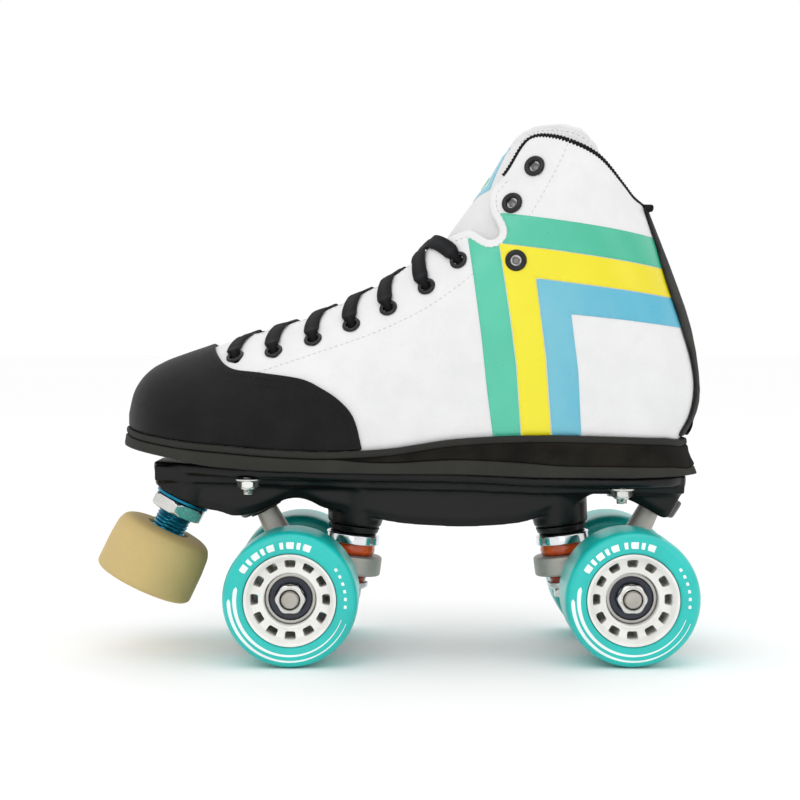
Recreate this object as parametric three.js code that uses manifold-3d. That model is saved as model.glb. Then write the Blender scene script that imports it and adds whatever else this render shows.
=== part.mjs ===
// A quad roller skate for the left foot: a laced leather boot on a nylon plate, two steering trucks,
// four wheels and a toe stop. Millimetres, +Z up, toe towards -X, the origin on the floor under the
// middle of the whole skate. The drawing below has its own x, and the last lines centre it.
import * as THREE from 'three';
import { mergeVertices } from 'three/addons/utils/BufferGeometryUtils.js';
import Module from 'manifold-3d';

const wasm = await Module();
wasm.setup();

// ---- driving dimensions --------------------------------------------------------------------------

const GAP = 0.3;                    // running or seating gap between two pieces

// wheels
const WHEEL_DIAMETER = 59;
const WHEEL_WIDTH = 38;
const WHEEL_INNER_FACE = 20;        // from the centre plane to the inner face of a wheel
const WHEELBASE = 148;
const FRONT_AXLE_X = -47.5;
const TYRE_SIDES = 28;
const LIP = 2.3;                    // rounded edge of the tyre
const HUB_DIAMETER = 40;
const HUB_RIM_WALL = 2.5;
const HUB_LENGTH = 36;
const HUB_WEB = 16;                 // thickness of the spoked web at the rim
const HUB_SEAT_WALL = 2.9;          // from the bearings to the windows
const HUB_WINDOW_MARGIN = 0.4;      // from the windows to the rim
const HUB_WINDOWS = 12;
const HUB_WINDOW_WIDTH = 3.2;
const BEARING_OUTSIDE = 22;
const BEARING_BORE = 8.6;
const BEARING_WIDTH = 7;
const BEARING_SPACING = 6;          // free length between the two bearings of a wheel

// axles and trucks, in the truck's own frame: the axle is at the origin and the kingpin at +x
const AXLE_DIAMETER = 8;
const AXLE_END_PAST_NUT = 1.2;
const AXLE_NUT_FLATS = 13;
const AXLE_NUT_HEIGHT = 5.5;
const BEAM_DIAMETER = 17;
const JOURNAL_DIAMETER = 13;
const PIVOT_TIP = [-16, 38.5];      // centre of the pivot pin's ball, x and z
const PIVOT_PIN_DIAMETER = 9;
const PIVOT_ARM_BASE = [0, 7.5];
const PIVOT_ARM_RADIUS = 7.5;       // where it leaves the beam
const HANGER_WEB = [[-7, 3], [-3, 8], [12, 13], [16, 11], [12.5, 6.2], [8, 1], [5, -6], [0, -7]];
const HANGER_WEB_HALF = 9;
const PIVOT_CUP_DIAMETER = 15;
const PIVOT_CUP_BELOW = 5;          // how far the cup reaches below the ball's centre
const PIVOT_CUP_FLOOR = 2;
const PIVOT_PLAY = 1.1;             // room beside the pin, for the truck's swing
const KINGPIN_TOP = [26.5, 27.5];   // where the kingpin leaves the plate, x and z
const KINGPIN_TILT = 7.5;           // degrees, its foot leaning towards the axle
const KINGPIN_DIAMETER = 9.5;
const KINGPIN_HOLD = 16;            // length of the kingpin inside the plate
const CUP_WASHER_DIAMETER = 25;
const CUP_WASHER_HEIGHT = 2.7;
const TOP_CUSHION_DIAMETER = 21.5;
const TOP_CUSHION_HEIGHT = 11.6;
const RING_DIAMETER = 30;
const RING_BORE = 14;
const RING_HEIGHT = 6;
const BOTTOM_CUSHION_DIAMETER = 19.5;
const BOTTOM_CUSHION_HEIGHT = 5.4;
const BOTTOM_WASHER_DIAMETER = 18;
const BOTTOM_WASHER_HEIGHT = 1.8;
const KINGPIN_NUT_FLATS = 14;
const KINGPIN_NUT_HEIGHT = 4.4;

// plate
const PLATE_NOSE_X = -112;
const PLATE_TAIL_X = 129.5;
const FLANGE_THICKNESS = 4.8;
const FLANGE_FRONT_HALF = 30;
const FLANGE_WAIST_HALF = 19;
const FLANGE_REAR_HALF = 27;
const KEEL_WIDTH = 26;
const BOSS_DIAMETER = 25.5;
const BOSS_HEIGHT = 20;
const PIVOT_BOSS_DIAMETER = 24;

// mounting bolts: x from each axle and half their spacing across
const BOLT_DIAMETER = 5;
const BOLT_HEAD_DIAMETER = 10;
const BOLT_HEAD_HEIGHT = 1.5;
const BOLT_NUT_FLATS = 8;
const BOLT_NUT_HEIGHT = 4.5;
const BOLT_WASHER_DIAMETER = 12;
const BOLT_WASHER_HEIGHT = 1.1;
const BOLT_END_PAST_NUT = 1.6;
const BOLT_SETS = [
  { end: 'front', x: -68, half: 22.5 },
  { end: 'rear', x: 99.5, half: 20 },
];

// toe stop: its axis leans back at the top
const STOP_FACE = [-106.9, 54];     // middle of the pad's upper face, x and z
const STOP_TILT = 25.8;
const STOP_PAD_DIAMETER = 45.6;
const STOP_PAD_HEIGHT = 26.6;
const STOP_SHOULDER = 4;
const STOP_STEM_DIAMETER = 15.9;
const STOP_STEM_LENGTH = 30;        // above the pad
const STOP_STEM_SINK = 14;          // moulded into the pad
const STOP_PLATE_DISTANCE = 17.2;   // from the pad up to the plate along the stem
const STOP_NUT_FLATS = 24;
const STOP_NUT_HEIGHT = 8;
const STOP_WASHER_DIAMETER = 25;
const STOP_WASHER_HEIGHT = 1.4;

// boot: two lines seen from the side, walked together from the toe to the collar. The first runs
// under the foot and up the heel, the second over the toe and up the instep.
const SOLE_AND_HEEL = [
  [-122.6, 102.6], [-120.4, 101.5], [-115, 100.4], [-106, 99], [-94, 97.4], [-80, 96.1], [-57, 94.2],
  [-32, 93.2], [-5, 94.4], [25, 98.4], [60, 99.9], [95, 99.3], [117, 98.3], [128.4, 97.7],
  [133.8, 108], [135.4, 121], [131.5, 146], [122.5, 172], [111.5, 200], [106, 216],
];
const HEEL_CORNER = 13;             // where the first line turns from the sole up the heel
const TOE_AND_INSTEP = [
  [-122.8, 107.5], [-120.2, 117.8], [-114.8, 125.3], [-107, 130.2], [-96.4, 134.2], [-84.6, 138.2],
  [-66, 145], [-45, 151.5], [-22, 161.5], [-4, 171.5], [12, 185], [20, 195.5], [26, 203.5],
  [29.5, 208], [33, 213], [37, 219], [43, 228], [49.5, 237], [57, 246.5], [62, 253],
];
const HEEL_HALF_WIDTH = 33;
const BALL_HALF_WIDTH = 45.5;
const WAIST_FROM_X = 45;            // the foot widens from here
const WAIST_TO_X = -62;             // to here
const SHAFT_HALF_WIDTH = 37;
const TOE_ROUNDING = 34;
const SHAFT_ROUNDING = 41;
const HEEL_ROUNDING = 33;
const TOE_SWING = 5;                // the toe's middle lies this far towards the inner side
const UPPER_WALL = 4;
const OVERLAY = 1.4;                // thickness of the toe cap and the back strip
const TONGUE_THICKNESS = 5;
const BOOT_SECTIONS = SOLE_AND_HEEL.length - 1;
const EXTRA_HEEL_SECTIONS = [-0.55, -0.2, 0.4];   // beside the heel's corner, to keep it round
const BOOT_ROWS = 6;
const PAST_THE_BOOT = 70;           // half width of a cutter that is wider than the boot

// sole layers
const WELT_THICKNESS = 3;
const WELT_MARGIN = 2.2;
const WELT_GAP = 0.5;               // under the boot, whose underside is gently curved
const OUTSOLE_MARGIN = 2.8;
const WEDGE_START_X = -27;
const OUTSOLE_UNDERSIDE = [
  [-127, 93.9], [-105, 90.6], [-85, 86.6], [-64, 84.8], [-30, 83.6], [0, 82.8], [27, 82.4],
  [60, 80.9], [98, 80.6], [136, 80.8],
];
const WEDGE_DEPTH = [[-27, 0.6], [-9, 2.2], [27, 5.8], [71, 10], [136, 9]];
const INSOLE_THICKNESS = 3;
const INSOLE_LIFT = 2.9;            // over the board, clear of the bolt heads
const INSOLE_MARGIN = 3.5;          // inside the upper's wall
const INSOLE_TOE_ROOM = 9;
const LAYER_END_HALF = 2;           // half width of a layer's blunt toe and heel ends
const INSOLE_HEEL_ROOM = 15;
const HEEL_FLARE_FROM = 100;        // behind this x the sole's layers are drawn out backwards
const WELT_FLARE = [0.3, 0.6];      // at a layer's top and at its underside
const WEDGE_FLARE = [0.8, 3];
const OUTSOLE_FLARE = [3.2, 4.8];

// lace
const LACE_WIDTH = 8;
const LACE_THICKNESS = 1.3;
const LACE_LIFT = 1.9;
const LACE_STEPS = 4;               // straight pieces in one crossing
const LACED_EYELETS = [
  [-73.6, 134.2], [-56.1, 136.6], [-38.6, 141.9], [-21.6, 148.3], [-5.2, 155.7], [11.7, 165.2],
  [25.8, 176.8],
];

// ---- finishes ------------------------------------------------------------------------------------

const finish = (color, roughness, metalness = 0) =>
  new THREE.MeshStandardMaterial({ color, roughness, metalness });
const WHITE_LEATHER = finish('#ececec', 0.5);
const BLACK_LEATHER = finish('#1b1b1c', 0.6);
const LINING = finish('#e2e1dd', 0.9);
const WELT_RUBBER = finish('#34332f', 0.8);
const WEDGE_RUBBER = finish('#1e1c19', 0.95);
const OUTSOLE_RUBBER = finish('#393833', 0.85);
const LACE_FABRIC = finish('#151515', 0.95);
const NYLON = finish('#121212', 0.4);
const URETHANE = finish('#12bdb5', 0.35);
const HUB_PLASTIC = finish('#e4e2da', 0.4);
const BEARING_STEEL = finish('#3b4468', 0.35, 0.7);
const CAST_METAL = finish('#a8a59f', 0.5, 0.9);
const ZINC = finish('#b9b9b6', 0.35, 1);
const CHROME = finish('#d5d5d5', 0.15, 1);
const CUSHION = finish('#e25a10', 0.3);
const CUP_PLASTIC = finish('#2a2a2a', 0.5);
const STOP_RUBBER = finish('#c6ae70', 0.8);
const STEM_METAL = finish('#0b7fa0', 0.3, 0.8);

// ---- solids --------------------------------------------------------------------------------------

const radians = THREE.MathUtils.degToRad;

// A closed geometry as a solid, with collapsed triangles left out and its faces turned outwards.
function toSolid(geometry) {
  const plain = geometry.clone();
  plain.deleteAttribute('normal');
  plain.deleteAttribute('uv');
  const merged = mergeVertices(plain, 1e-4);
  const points = merged.getAttribute('position').array;
  const corner = (index) => new THREE.Vector3().fromArray(points, 3 * index);
  const triangles = [];
  let volume = 0;
  for (let k = 0; k < merged.index.count; k += 3) {
    const [a, b, c] = [0, 1, 2].map((step) => merged.index.getX(k + step));
    if (a === b || b === c || c === a) continue;
    triangles.push([a, b, c]);
    volume += corner(a).dot(corner(b).cross(corner(c)));
  }
  const outward = volume > 0 ? triangles : triangles.map(([a, b, c]) => [a, c, b]);
  return new wasm.Manifold(new wasm.Mesh({
    numProp: 3,
    vertProperties: new Float32Array(points),
    triVerts: new Uint32Array(outward.flat()),
  }));
}

function toMesh(name, solid, material) {
  const { vertProperties, triVerts } = solid.getMesh();
  const geometry = new THREE.BufferGeometry();
  geometry.setAttribute('position', new THREE.BufferAttribute(new Float32Array(vertProperties), 3));
  geometry.setIndex([...triVerts]);
  geometry.computeVertexNormals();
  const mesh = new THREE.Mesh(geometry, material);
  mesh.name = name;
  return mesh;
}

// A shape turned about the y axis, from a closed outline of [radius, y] points.
function turned(outline, sides, start = 0) {
  const points = [...outline, outline[0]].map(([radius, y]) => new THREE.Vector2(radius, y));
  return new THREE.LatheGeometry(points, sides, start);
}

// An outline of [x, z] points carried across, from -half to +half in y.
function prism(outline, half) {
  const shape = new THREE.Shape(outline.map(([x, z]) => new THREE.Vector2(x, z)));
  const geometry = new THREE.ExtrudeGeometry(shape, { depth: 2 * half, bevelEnabled: false });
  return geometry.rotateX(Math.PI / 2).translate(0, half, 0);
}

// A rod, or a cone, whose axis starts at the foot, leans by the tilt in the xz plane and is
// measured upwards from `from` to `to`.
function leaningRod(foot, tilt, from, to, lowRadius, highRadius = lowRadius, sides = 12) {
  const geometry = new THREE.CylinderGeometry(highRadius, lowRadius, to - from, sides);
  geometry.translate(0, (from + to) / 2, 0).rotateX(Math.PI / 2);
  return geometry.rotateY(radians(tilt)).translate(foot[0], 0, foot[1]);
}

// A turned piece or a hexagon, made about +z and set on the same leaning axis.
function leaning(geometry, foot, tilt) {
  return geometry.rotateY(radians(tilt)).translate(foot[0], 0, foot[1]);
}

function ring(outside, bore, low, high, sides = 12) {
  const outline = [[bore / 2, low], [outside / 2, low], [outside / 2, high], [bore / 2, high]];
  return turned(outline, sides).rotateX(Math.PI / 2);
}

function hexagonNut(flats, bore, low, high) {
  const corner = flats / 2 / Math.cos(Math.PI / 6);
  const shape = new THREE.Shape();
  for (let k = 0; k < 6; k += 1) {
    const angle = (k * Math.PI) / 3;
    shape[k ? 'lineTo' : 'moveTo'](corner * Math.cos(angle), corner * Math.sin(angle));
  }
  const hole = new THREE.Path();
  hole.absarc(0, 0, bore / 2, 0, 2 * Math.PI, true);
  shape.holes.push(hole);
  const settings = { depth: high - low, bevelEnabled: false, curveSegments: 6 };
  return new THREE.ExtrudeGeometry(shape, settings).translate(0, 0, low);
}

const join = (...geometries) => geometries.map(toSolid).reduce((whole, piece) => whole.add(piece));
const cut = (solid, ...geometries) =>
  geometries.map(toSolid).reduce((left, tool) => left.subtract(tool), solid);

// ---- the boot's form -----------------------------------------------------------------------------

const mix = THREE.MathUtils.lerp;
const smooth = (value, from, to) => {
  const t = THREE.MathUtils.clamp((value - from) / (to - from), 0, 1);
  return t * t * (3 - 2 * t);
};

// A height along x through given [x, height] points.
function through(points) {
  return (x) => {
    const last = points.length - 2;
    const found = points.findIndex(([px]) => px > x);
    const k = THREE.MathUtils.clamp(found < 0 ? last : found - 1, 0, last);
    const [[x0, h0], [x1, h1]] = [points[k], points[k + 1]];
    return mix(h0, h1, THREE.MathUtils.clamp((x - x0) / (x1 - x0), 0, 1));
  };
}

// A line of [x, z] points moved sideways: to its left for a positive distance.
function beside(line, distance) {
  return line.map(([x, z], k) => {
    const before = line[Math.max(k - 1, 0)];
    const after = line[Math.min(k + 1, line.length - 1)];
    const length = Math.hypot(after[0] - before[0], after[1] - before[1]);
    return [
      x - (distance * (after[1] - before[1])) / length,
      z + (distance * (after[0] - before[0])) / length,
    ];
  });
}

const curveThrough = (line) => new THREE.SplineCurve(line.map(([x, z]) => new THREE.Vector2(x, z)));

// A rounded distance from a point to a line of [x, z] points, smooth where the line bends.
function softDistance(line, x, z) {
  let sum = 0;
  for (let k = 0; k + 1 < line.length; k += 1) {
    const [[x0, z0], [x1, z1]] = [line[k], line[k + 1]];
    const length = Math.hypot(x1 - x0, z1 - z0);
    const along = [(x1 - x0) / length, (z1 - z0) / length];
    const start = (x0 - x) * along[0] + (z0 - z) * along[1];
    const off = Math.max(Math.abs((x0 - x) * along[1] - (z0 - z) * along[0]), 0.02);
    const part = (s) => s / (2 * off * off * (off * off + s * s)) + Math.atan(s / off) / (2 * off ** 3);
    sum += part(start + length) - part(start);
  }
  return Math.cbrt(Math.PI / 2 / sum);
}

const rounded = (share) => Math.sqrt(Math.max(0, 1 - (1 - Math.min(share, 1)) ** 2));
const lastMiddle = (x) => TOE_SWING * smooth(x, -10, -120);

// The boot's outside, grown by an offset: its two side-view lines and its half width at any point.
function bootForm(offset) {
  const under = beside(SOLE_AND_HEEL, -offset);
  const over = beside(TOE_AND_INSTEP, offset);
  const sampled = (line, count) => curveThrough(line).getPoints(count).map((p) => [p.x, p.y]);
  const heel = under.slice(HEEL_CORNER);
  const front = [[over[0][0], 40], ...sampled(over, 40), [78, 285]];
  const back = [[heel[0][0], 40], ...sampled(heel, 16), [94, 250]];
  const halfWidth = (x, z) => {
    const low = mix(BALL_HALF_WIDTH, HEEL_HALF_WIDTH, smooth(x, WAIST_TO_X, WAIST_FROM_X));
    const plateau = mix(low, SHAFT_HALF_WIDTH, smooth(z, 100, 165)) + offset;
    const frontRound = mix(TOE_ROUNDING, SHAFT_ROUNDING, smooth(x, -60, 20)) + offset;
    return plateau
      * rounded(softDistance(front, x, z) / frontRound)
      * rounded(softDistance(back, x, z) / (HEEL_ROUNDING + offset));
  };
  return { under: curveThrough(under), over: curveThrough(over), halfWidth };
}

// A point on the form: `along` runs from toe to collar, `up` from the sole or heel to the instep.
function formPoint(form, along, up) {
  const place = form.under.getPoint(along).lerp(form.over.getPoint(along), up);
  const edge = up >= 1 || (up <= 0 && along > HEEL_CORNER / (SOLE_AND_HEEL.length - 1));
  return { x: place.x, z: place.y, half: edge ? 0 : form.halfWidth(place.x, place.y) };
}

// Quads of [x, y, z] corners as one geometry.
function fromQuads(quads) {
  const triangles = quads.flatMap(([a, b, c, d]) => [a, b, c, a, c, d]);
  const geometry = new THREE.BufferGeometry();
  geometry.setAttribute('position', new THREE.Float32BufferAttribute(triangles.flat(), 3));
  return geometry;
}

// The closed solid inside the form.
function formSolid(offset) {
  const form = bootForm(offset);
  const steps = [...Array(BOOT_SECTIONS + 1).keys(), ...EXTRA_HEEL_SECTIONS.map((step) => HEEL_CORNER + step)];
  const columns = steps.sort((a, b) => a - b).map((step) => step / BOOT_SECTIONS);
  const rows = [...Array(BOOT_ROWS + 1).keys()].map((j) => j / BOOT_ROWS);
  // rows crowd towards the instep, and behind the heel's corner towards the back as well
  const height = (along, row) => mix(
    Math.sin((row * Math.PI) / 2),
    (1 - Math.cos(row * Math.PI)) / 2,
    smooth(along, 0.5, 0.68),
  );
  const grid = columns.map((along) => rows.map((row) => formPoint(form, along, height(along, row))));
  const at = (i, j, side) => {
    const { x, z, half } = grid[i][j];
    return [x, lastMiddle(x) + side * half, z];
  };
  const quads = [];
  for (let i = 0; i + 1 < grid.length; i += 1) {
    quads.push([at(i, 0, 1), at(i, 0, -1), at(i + 1, 0, -1), at(i + 1, 0, 1)]);
    for (let j = 0; j < BOOT_ROWS; j += 1) {
      quads.push([at(i, j, 1), at(i + 1, j, 1), at(i + 1, j + 1, 1), at(i, j + 1, 1)]);
      quads.push([at(i, j, -1), at(i, j + 1, -1), at(i + 1, j + 1, -1), at(i + 1, j, -1)]);
    }
  }
  for (let j = 0; j < BOOT_ROWS; j += 1) {
    const end = grid.length - 1;
    quads.push([at(0, j, -1), at(0, j, 1), at(0, j + 1, 1), at(0, j + 1, -1)]);
    quads.push([at(end, j, 1), at(end, j, -1), at(end, j + 1, -1), at(end, j + 1, 1)]);
  }
  return toSolid(fromQuads(quads));
}

const boltHoles = (clearance) => BOLT_SETS.flatMap(({ x, half }) =>
  [-half, half].map((y) => {
    const rod = new THREE.CylinderGeometry(BOLT_DIAMETER / 2 + clearance, BOLT_DIAMETER / 2 + clearance, 80, 8);
    return rod.rotateX(Math.PI / 2).translate(x, y, 100);
  }));

// The side-view outline of what is open above the boot: the lacing's top, the notch, the cuff's
// front edge, then the collar's line down to the heel.
const COLLAR_CUT = [
  [-2, 219], [29.5, 192.5], [33.5, 187.2], [38, 185], [42.3, 185.5], [44.6, 189], [43.2, 193.5],
  [40.2, 199.5], [40.6, 207.5], [46.7, 216.3], [53.5, 228.5], [58.5, 232.8], [66, 232.6],
  [74.3, 229.9], [87.7, 222.8], [99, 210], [105, 203.8], [114, 200.4], [150, 199], [150, 300], [-2, 300],
];

// The gap between the two facings, seen from above: round at its toe end.
const THROAT_START_X = -68;
const THROAT_END_X = 46;
const THROAT_HALF_START = 8;
const THROAT_HALF_END = 14;

function throatCutter() {
  const shape = new THREE.Shape();
  shape.moveTo(THROAT_END_X, -THROAT_HALF_END);
  shape.lineTo(THROAT_END_X, THROAT_HALF_END);
  shape.lineTo(THROAT_START_X + THROAT_HALF_START, THROAT_HALF_START);
  const middle = THROAT_START_X + THROAT_HALF_START;
  shape.absarc(middle, 0, THROAT_HALF_START, Math.PI / 2, (3 * Math.PI) / 2, false);
  const settings = { depth: 190, bevelEnabled: false, curveSegments: 4 };
  return new THREE.ExtrudeGeometry(shape, settings).translate(0, 0, 125);
}

const outerForm = formSolid(0);
const overlayBand = formSolid(GAP + OVERLAY).subtract(formSolid(GAP));
const aboveCollar = toSolid(prism(COLLAR_CUT, PAST_THE_BOOT));

function bootUpper() {
  const shell = outerForm.subtract(formSolid(-UPPER_WALL)).subtract(aboveCollar);
  return cut(shell, throatCutter(), ...boltHoles(GAP));
}

// The toe cap's rear edge, from the welt up to the instep, and the ground it covers ahead of it.
const TOE_CAP = [
  [-17.3, 80], [-17.3, 93.9], [-20.6, 106.8], [-26.4, 114.3], [-34.8, 120.1], [-43.9, 124.3],
  [-62.5, 127.1], [-72.9, 128.3], [-78.3, 130.7], [-82.4, 134.9], [-85.4, 139.5], [-87, 160],
  [-150, 160], [-150, 80],
];

// What lies below the boot's feather line, from the toe to the waist.
const BELOW_FEATHER = [[-150, 60], [60, 60], [60, 97], ...SOLE_AND_HEEL.slice(0, 9).reverse(), [-150, 103]];

function toeCap() {
  const cap = overlayBand.intersect(toSolid(prism(TOE_CAP, PAST_THE_BOOT)));
  return cap.subtract(toSolid(prism(BELOW_FEATHER, PAST_THE_BOOT)));
}

// The ground that the strip up the back of the heel covers, seen from the side.
const BACK_STRIP = [
  [127.4, 98.6], [132, 107.7], [134, 121], [132, 133], [127.4, 146.5], [119.8, 167.5], [114.2, 186.4],
  [109.3, 200.6], [160, 200.6], [160, 98.6],
];

const backstay = () => overlayBand.intersect(toSolid(prism(BACK_STRIP, PAST_THE_BOOT))).subtract(aboveCollar);

// The ground that the tongue covers, seen from the side, open towards the instep.
const TONGUE_SIDE = [
  [-66, 165], [-66, 133], [-30, 138], [0, 147], [30, 160], [62, 186], [88, 214], [93, 227.5],
  [89.3, 233.5], [84.3, 237.4], [77, 240], [67.4, 241.2], [59.4, 239.8], [40, 262],
];

function tongue() {
  const under = UPPER_WALL + GAP;
  const layer = formSolid(-under).subtract(formSolid(-under - TONGUE_THICKNESS));
  return layer.intersect(toSolid(prism(TONGUE_SIDE, PAST_THE_BOOT)));
}

// ---- sole layers ---------------------------------------------------------------------------------

const featherLine = curveThrough(SOLE_AND_HEEL).getPoints(8 * BOOT_SECTIONS).slice(0, 8 * HEEL_CORNER + 1);
const featherAt = through(featherLine.map((point) => [point.x, point.y]));
const undersideAt = through(OUTSOLE_UNDERSIDE);
const wedgeDepthAt = through(WEDGE_DEPTH);
const weltTop = (x) => featherAt(x) - WELT_GAP;
const weltUnderside = (x) => weltTop(x) - WELT_THICKNESS;
const outsoleTop = (x) => weltUnderside(x) - GAP - (x >= WEDGE_START_X ? wedgeDepthAt(x) + GAP : 0);

// Stations along x, drawn together towards both ends where an outline is round.
function stations(from, to, count) {
  const shares = [...Array(count + 1).keys()].map((k) => (1 - Math.cos((Math.PI * k) / count)) / 2);
  return shares.map((share) => mix(from, to, share));
}

// A layer between two heights. Its heel is drawn out backwards, by one distance at the top and
// another at the underside.
function layer(xs, halfWidth, top, underside, flare = [0, 0]) {
  const at = (k, side, height) => {
    const x = xs[k];
    const drawn = (height === top ? flare[0] : flare[1]) * smooth(x, HEEL_FLARE_FROM, xs[xs.length - 1]);
    return [x + drawn, lastMiddle(x) + side * halfWidth(x), height(x)];
  };
  const quads = [];
  for (let k = 0; k + 1 < xs.length; k += 1) {
    quads.push([at(k, -1, top), at(k + 1, -1, top), at(k + 1, 1, top), at(k, 1, top)]);
    quads.push([at(k, 1, underside), at(k + 1, 1, underside), at(k + 1, -1, underside), at(k, -1, underside)]);
    quads.push([at(k, -1, underside), at(k + 1, -1, underside), at(k + 1, -1, top), at(k, -1, top)]);
    quads.push([at(k, 1, top), at(k + 1, 1, top), at(k + 1, 1, underside), at(k, 1, underside)]);
  }
  const last = xs.length - 1;
  quads.push([at(0, 1, underside), at(0, -1, underside), at(0, -1, top), at(0, 1, top)]);
  quads.push([at(last, -1, underside), at(last, 1, underside), at(last, 1, top), at(last, -1, top)]);
  return fromQuads(quads);
}

function outlineOf(margin) {
  const form = bootForm(margin);
  return (x) => Math.max(form.halfWidth(x, featherAt(x)), LAYER_END_HALF);
}

const TOE_X = SOLE_AND_HEEL[0][0];
const HEEL_X = SOLE_AND_HEEL[HEEL_CORNER][0];

function midsole() {
  const xs = stations(TOE_X - WELT_MARGIN, HEEL_X + WELT_MARGIN, 22);
  return cut(toSolid(layer(xs, outlineOf(WELT_MARGIN), weltTop, weltUnderside, WELT_FLARE)), ...boltHoles(GAP));
}

function heelWedge() {
  const end = HEEL_X + WELT_MARGIN;
  const xs = stations(2 * WEDGE_START_X - end, end, 26).filter((x) => x > WEDGE_START_X);
  const top = (x) => weltUnderside(x) - GAP;
  const under = (x) => top(x) - wedgeDepthAt(x);
  const geometry = layer([WEDGE_START_X, ...xs], outlineOf(WELT_MARGIN), top, under, WEDGE_FLARE);
  return cut(toSolid(geometry), ...boltHoles(GAP));
}

function outsole() {
  const xs = stations(TOE_X - OUTSOLE_MARGIN, HEEL_X + OUTSOLE_MARGIN, 24);
  const ends = [...xs.filter((x) => x < WEDGE_START_X - 1), WEDGE_START_X - 0.5, WEDGE_START_X];
  const list = [...ends, ...xs.filter((x) => x > WEDGE_START_X + 1)];
  const geometry = layer(list, outlineOf(OUTSOLE_MARGIN), outsoleTop, undersideAt, OUTSOLE_FLARE);
  return cut(toSolid(geometry), ...boltHoles(GAP));
}

const boardTop = (x) => featherAt(x) + UPPER_WALL;
const insoleUnderside = (x) => boardTop(x) + INSOLE_LIFT;

function insole() {
  const form = bootForm(-UPPER_WALL - INSOLE_MARGIN);
  const outline = (x) => Math.max(form.halfWidth(x, insoleUnderside(x)), LAYER_END_HALF);
  const xs = stations(TOE_X + INSOLE_TOE_ROOM, HEEL_X - INSOLE_HEEL_ROOM, 14);
  return toSolid(layer(xs, outline, (x) => insoleUnderside(x) + INSOLE_THICKNESS, insoleUnderside));
}

// ---- lace ----------------------------------------------------------------------------------------

// Where an eyelet lies on the form: how far along, and how far up towards the instep.
function locate(form, [x, z]) {
  let best = { miss: Infinity };
  for (let i = 0; i <= 200; i += 1) {
    for (let j = 0; j <= 100; j += 1) {
      const place = form.under.getPoint(i / 200).lerp(form.over.getPoint(i / 200), j / 100);
      const miss = Math.hypot(place.x - x, place.y - z);
      if (miss < best.miss) best = { miss, along: i / 200, up: j / 100 };
    }
  }
  return best;
}

// One flat run of lace over the instep, from an eyelet on one side to one on the other.
function laceRun(start, end, fromSide) {
  const steps = LACE_STEPS;
  const low = bootForm(LACE_LIFT);
  const high = bootForm(LACE_LIFT + LACE_THICKNESS);
  const half = LACE_WIDTH / 2 / low.over.getLength();
  const at = (k, edge, form) => {
    const share = k / steps;
    const along = mix(start.along, end.along, share) + edge * half;
    const foot = mix(start.up, end.up, share);
    const { x, z, half: reach } = formPoint(form, along, foot + (1 - foot) * Math.sin(Math.PI * share));
    const side = share < 0.5 ? fromSide : -fromSide;
    return [x, lastMiddle(x) + (2 * k === steps ? 0 : side * reach), z];
  };
  const quads = [];
  for (let k = 0; k < steps; k += 1) {
    quads.push([at(k, -1, high), at(k + 1, -1, high), at(k + 1, 1, high), at(k, 1, high)]);
    quads.push([at(k, 1, low), at(k + 1, 1, low), at(k + 1, -1, low), at(k, -1, low)]);
    quads.push([at(k, -1, low), at(k + 1, -1, low), at(k + 1, -1, high), at(k, -1, high)]);
    quads.push([at(k, 1, high), at(k + 1, 1, high), at(k + 1, 1, low), at(k, 1, low)]);
  }
  quads.push([at(0, -1, low), at(0, -1, high), at(0, 1, high), at(0, 1, low)]);
  quads.push([at(steps, 1, low), at(steps, 1, high), at(steps, -1, high), at(steps, -1, low)]);
  return fromQuads(quads);
}

function lace() {
  const outside = bootForm(LACE_LIFT);
  const eyelets = LACED_EYELETS.map((eyelet) => locate(outside, eyelet));
  const pairs = eyelets.slice(1).map((above, k) => [eyelets[k], above]);
  return join(...pairs.flatMap(([below, above]) => [laceRun(below, above, -1), laceRun(below, above, 1)]));
}

// ---- plate ---------------------------------------------------------------------------------------

const AXLE_Z = WHEEL_DIAMETER / 2;
const TRUCKS = [
  { end: 'front', x: FRONT_AXLE_X, facing: 1 },
  { end: 'rear', x: FRONT_AXLE_X + WHEELBASE, facing: -1 },
];
const noseLine = through([[PLATE_NOSE_X, 86.5], [-72, 84.9]]);
const plateTop = (x) => Math.min(undersideAt(x) - GAP, x < -72 ? noseLine(x) : Infinity);

// The plate's lower edge seen from the side: nose, front pivot boss, arch over the front axle, front
// kingpin boss, keel, and the same again at the rear.
const KEEL_EDGE = [
  [PLATE_TAIL_X, 74], [122.4, 62.1], [118.8, 61], [110.4, 65.8], [102.3, 69.5], [92.1, 72.4],
  [86.5, 71.3], [80, 68], [60, 60], [46.1, 57.6], [27.7, 56.8], [9.4, 57.6], [-3.6, 59], [-28, 64],
  [-34.7, 65.4], [-41.2, 68.6], [-46.7, 69.8], [-52.3, 69.1], [-55.9, 67.2], [-66, 63.1],
  [-75.2, 61.7], [-81.6, 63.6], [-90.6, 65.8], [-107.9, 74], [-110.7, 78],
];

const flangeHalf = through([
  [PLATE_NOSE_X, 13], [-106, 18], [-88, 25], [-72, FLANGE_FRONT_HALF], [-55, FLANGE_FRONT_HALF],
  [-30, 25], [0, FLANGE_WAIST_HALF], [40, FLANGE_WAIST_HALF], [75, 24], [95, FLANGE_REAR_HALF],
  [112, FLANGE_REAR_HALF], [124, 21], [PLATE_TAIL_X, 12],
]);

// A point of a truck's frame in the skate's frame.
const truckPoint = ({ x, facing }, [along, up]) => [x + facing * along, AXLE_Z + up];
const armTilt = Math.atan2(PIVOT_TIP[0] - PIVOT_ARM_BASE[0], PIVOT_TIP[1] - PIVOT_ARM_BASE[1])
  * THREE.MathUtils.RAD2DEG;

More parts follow.
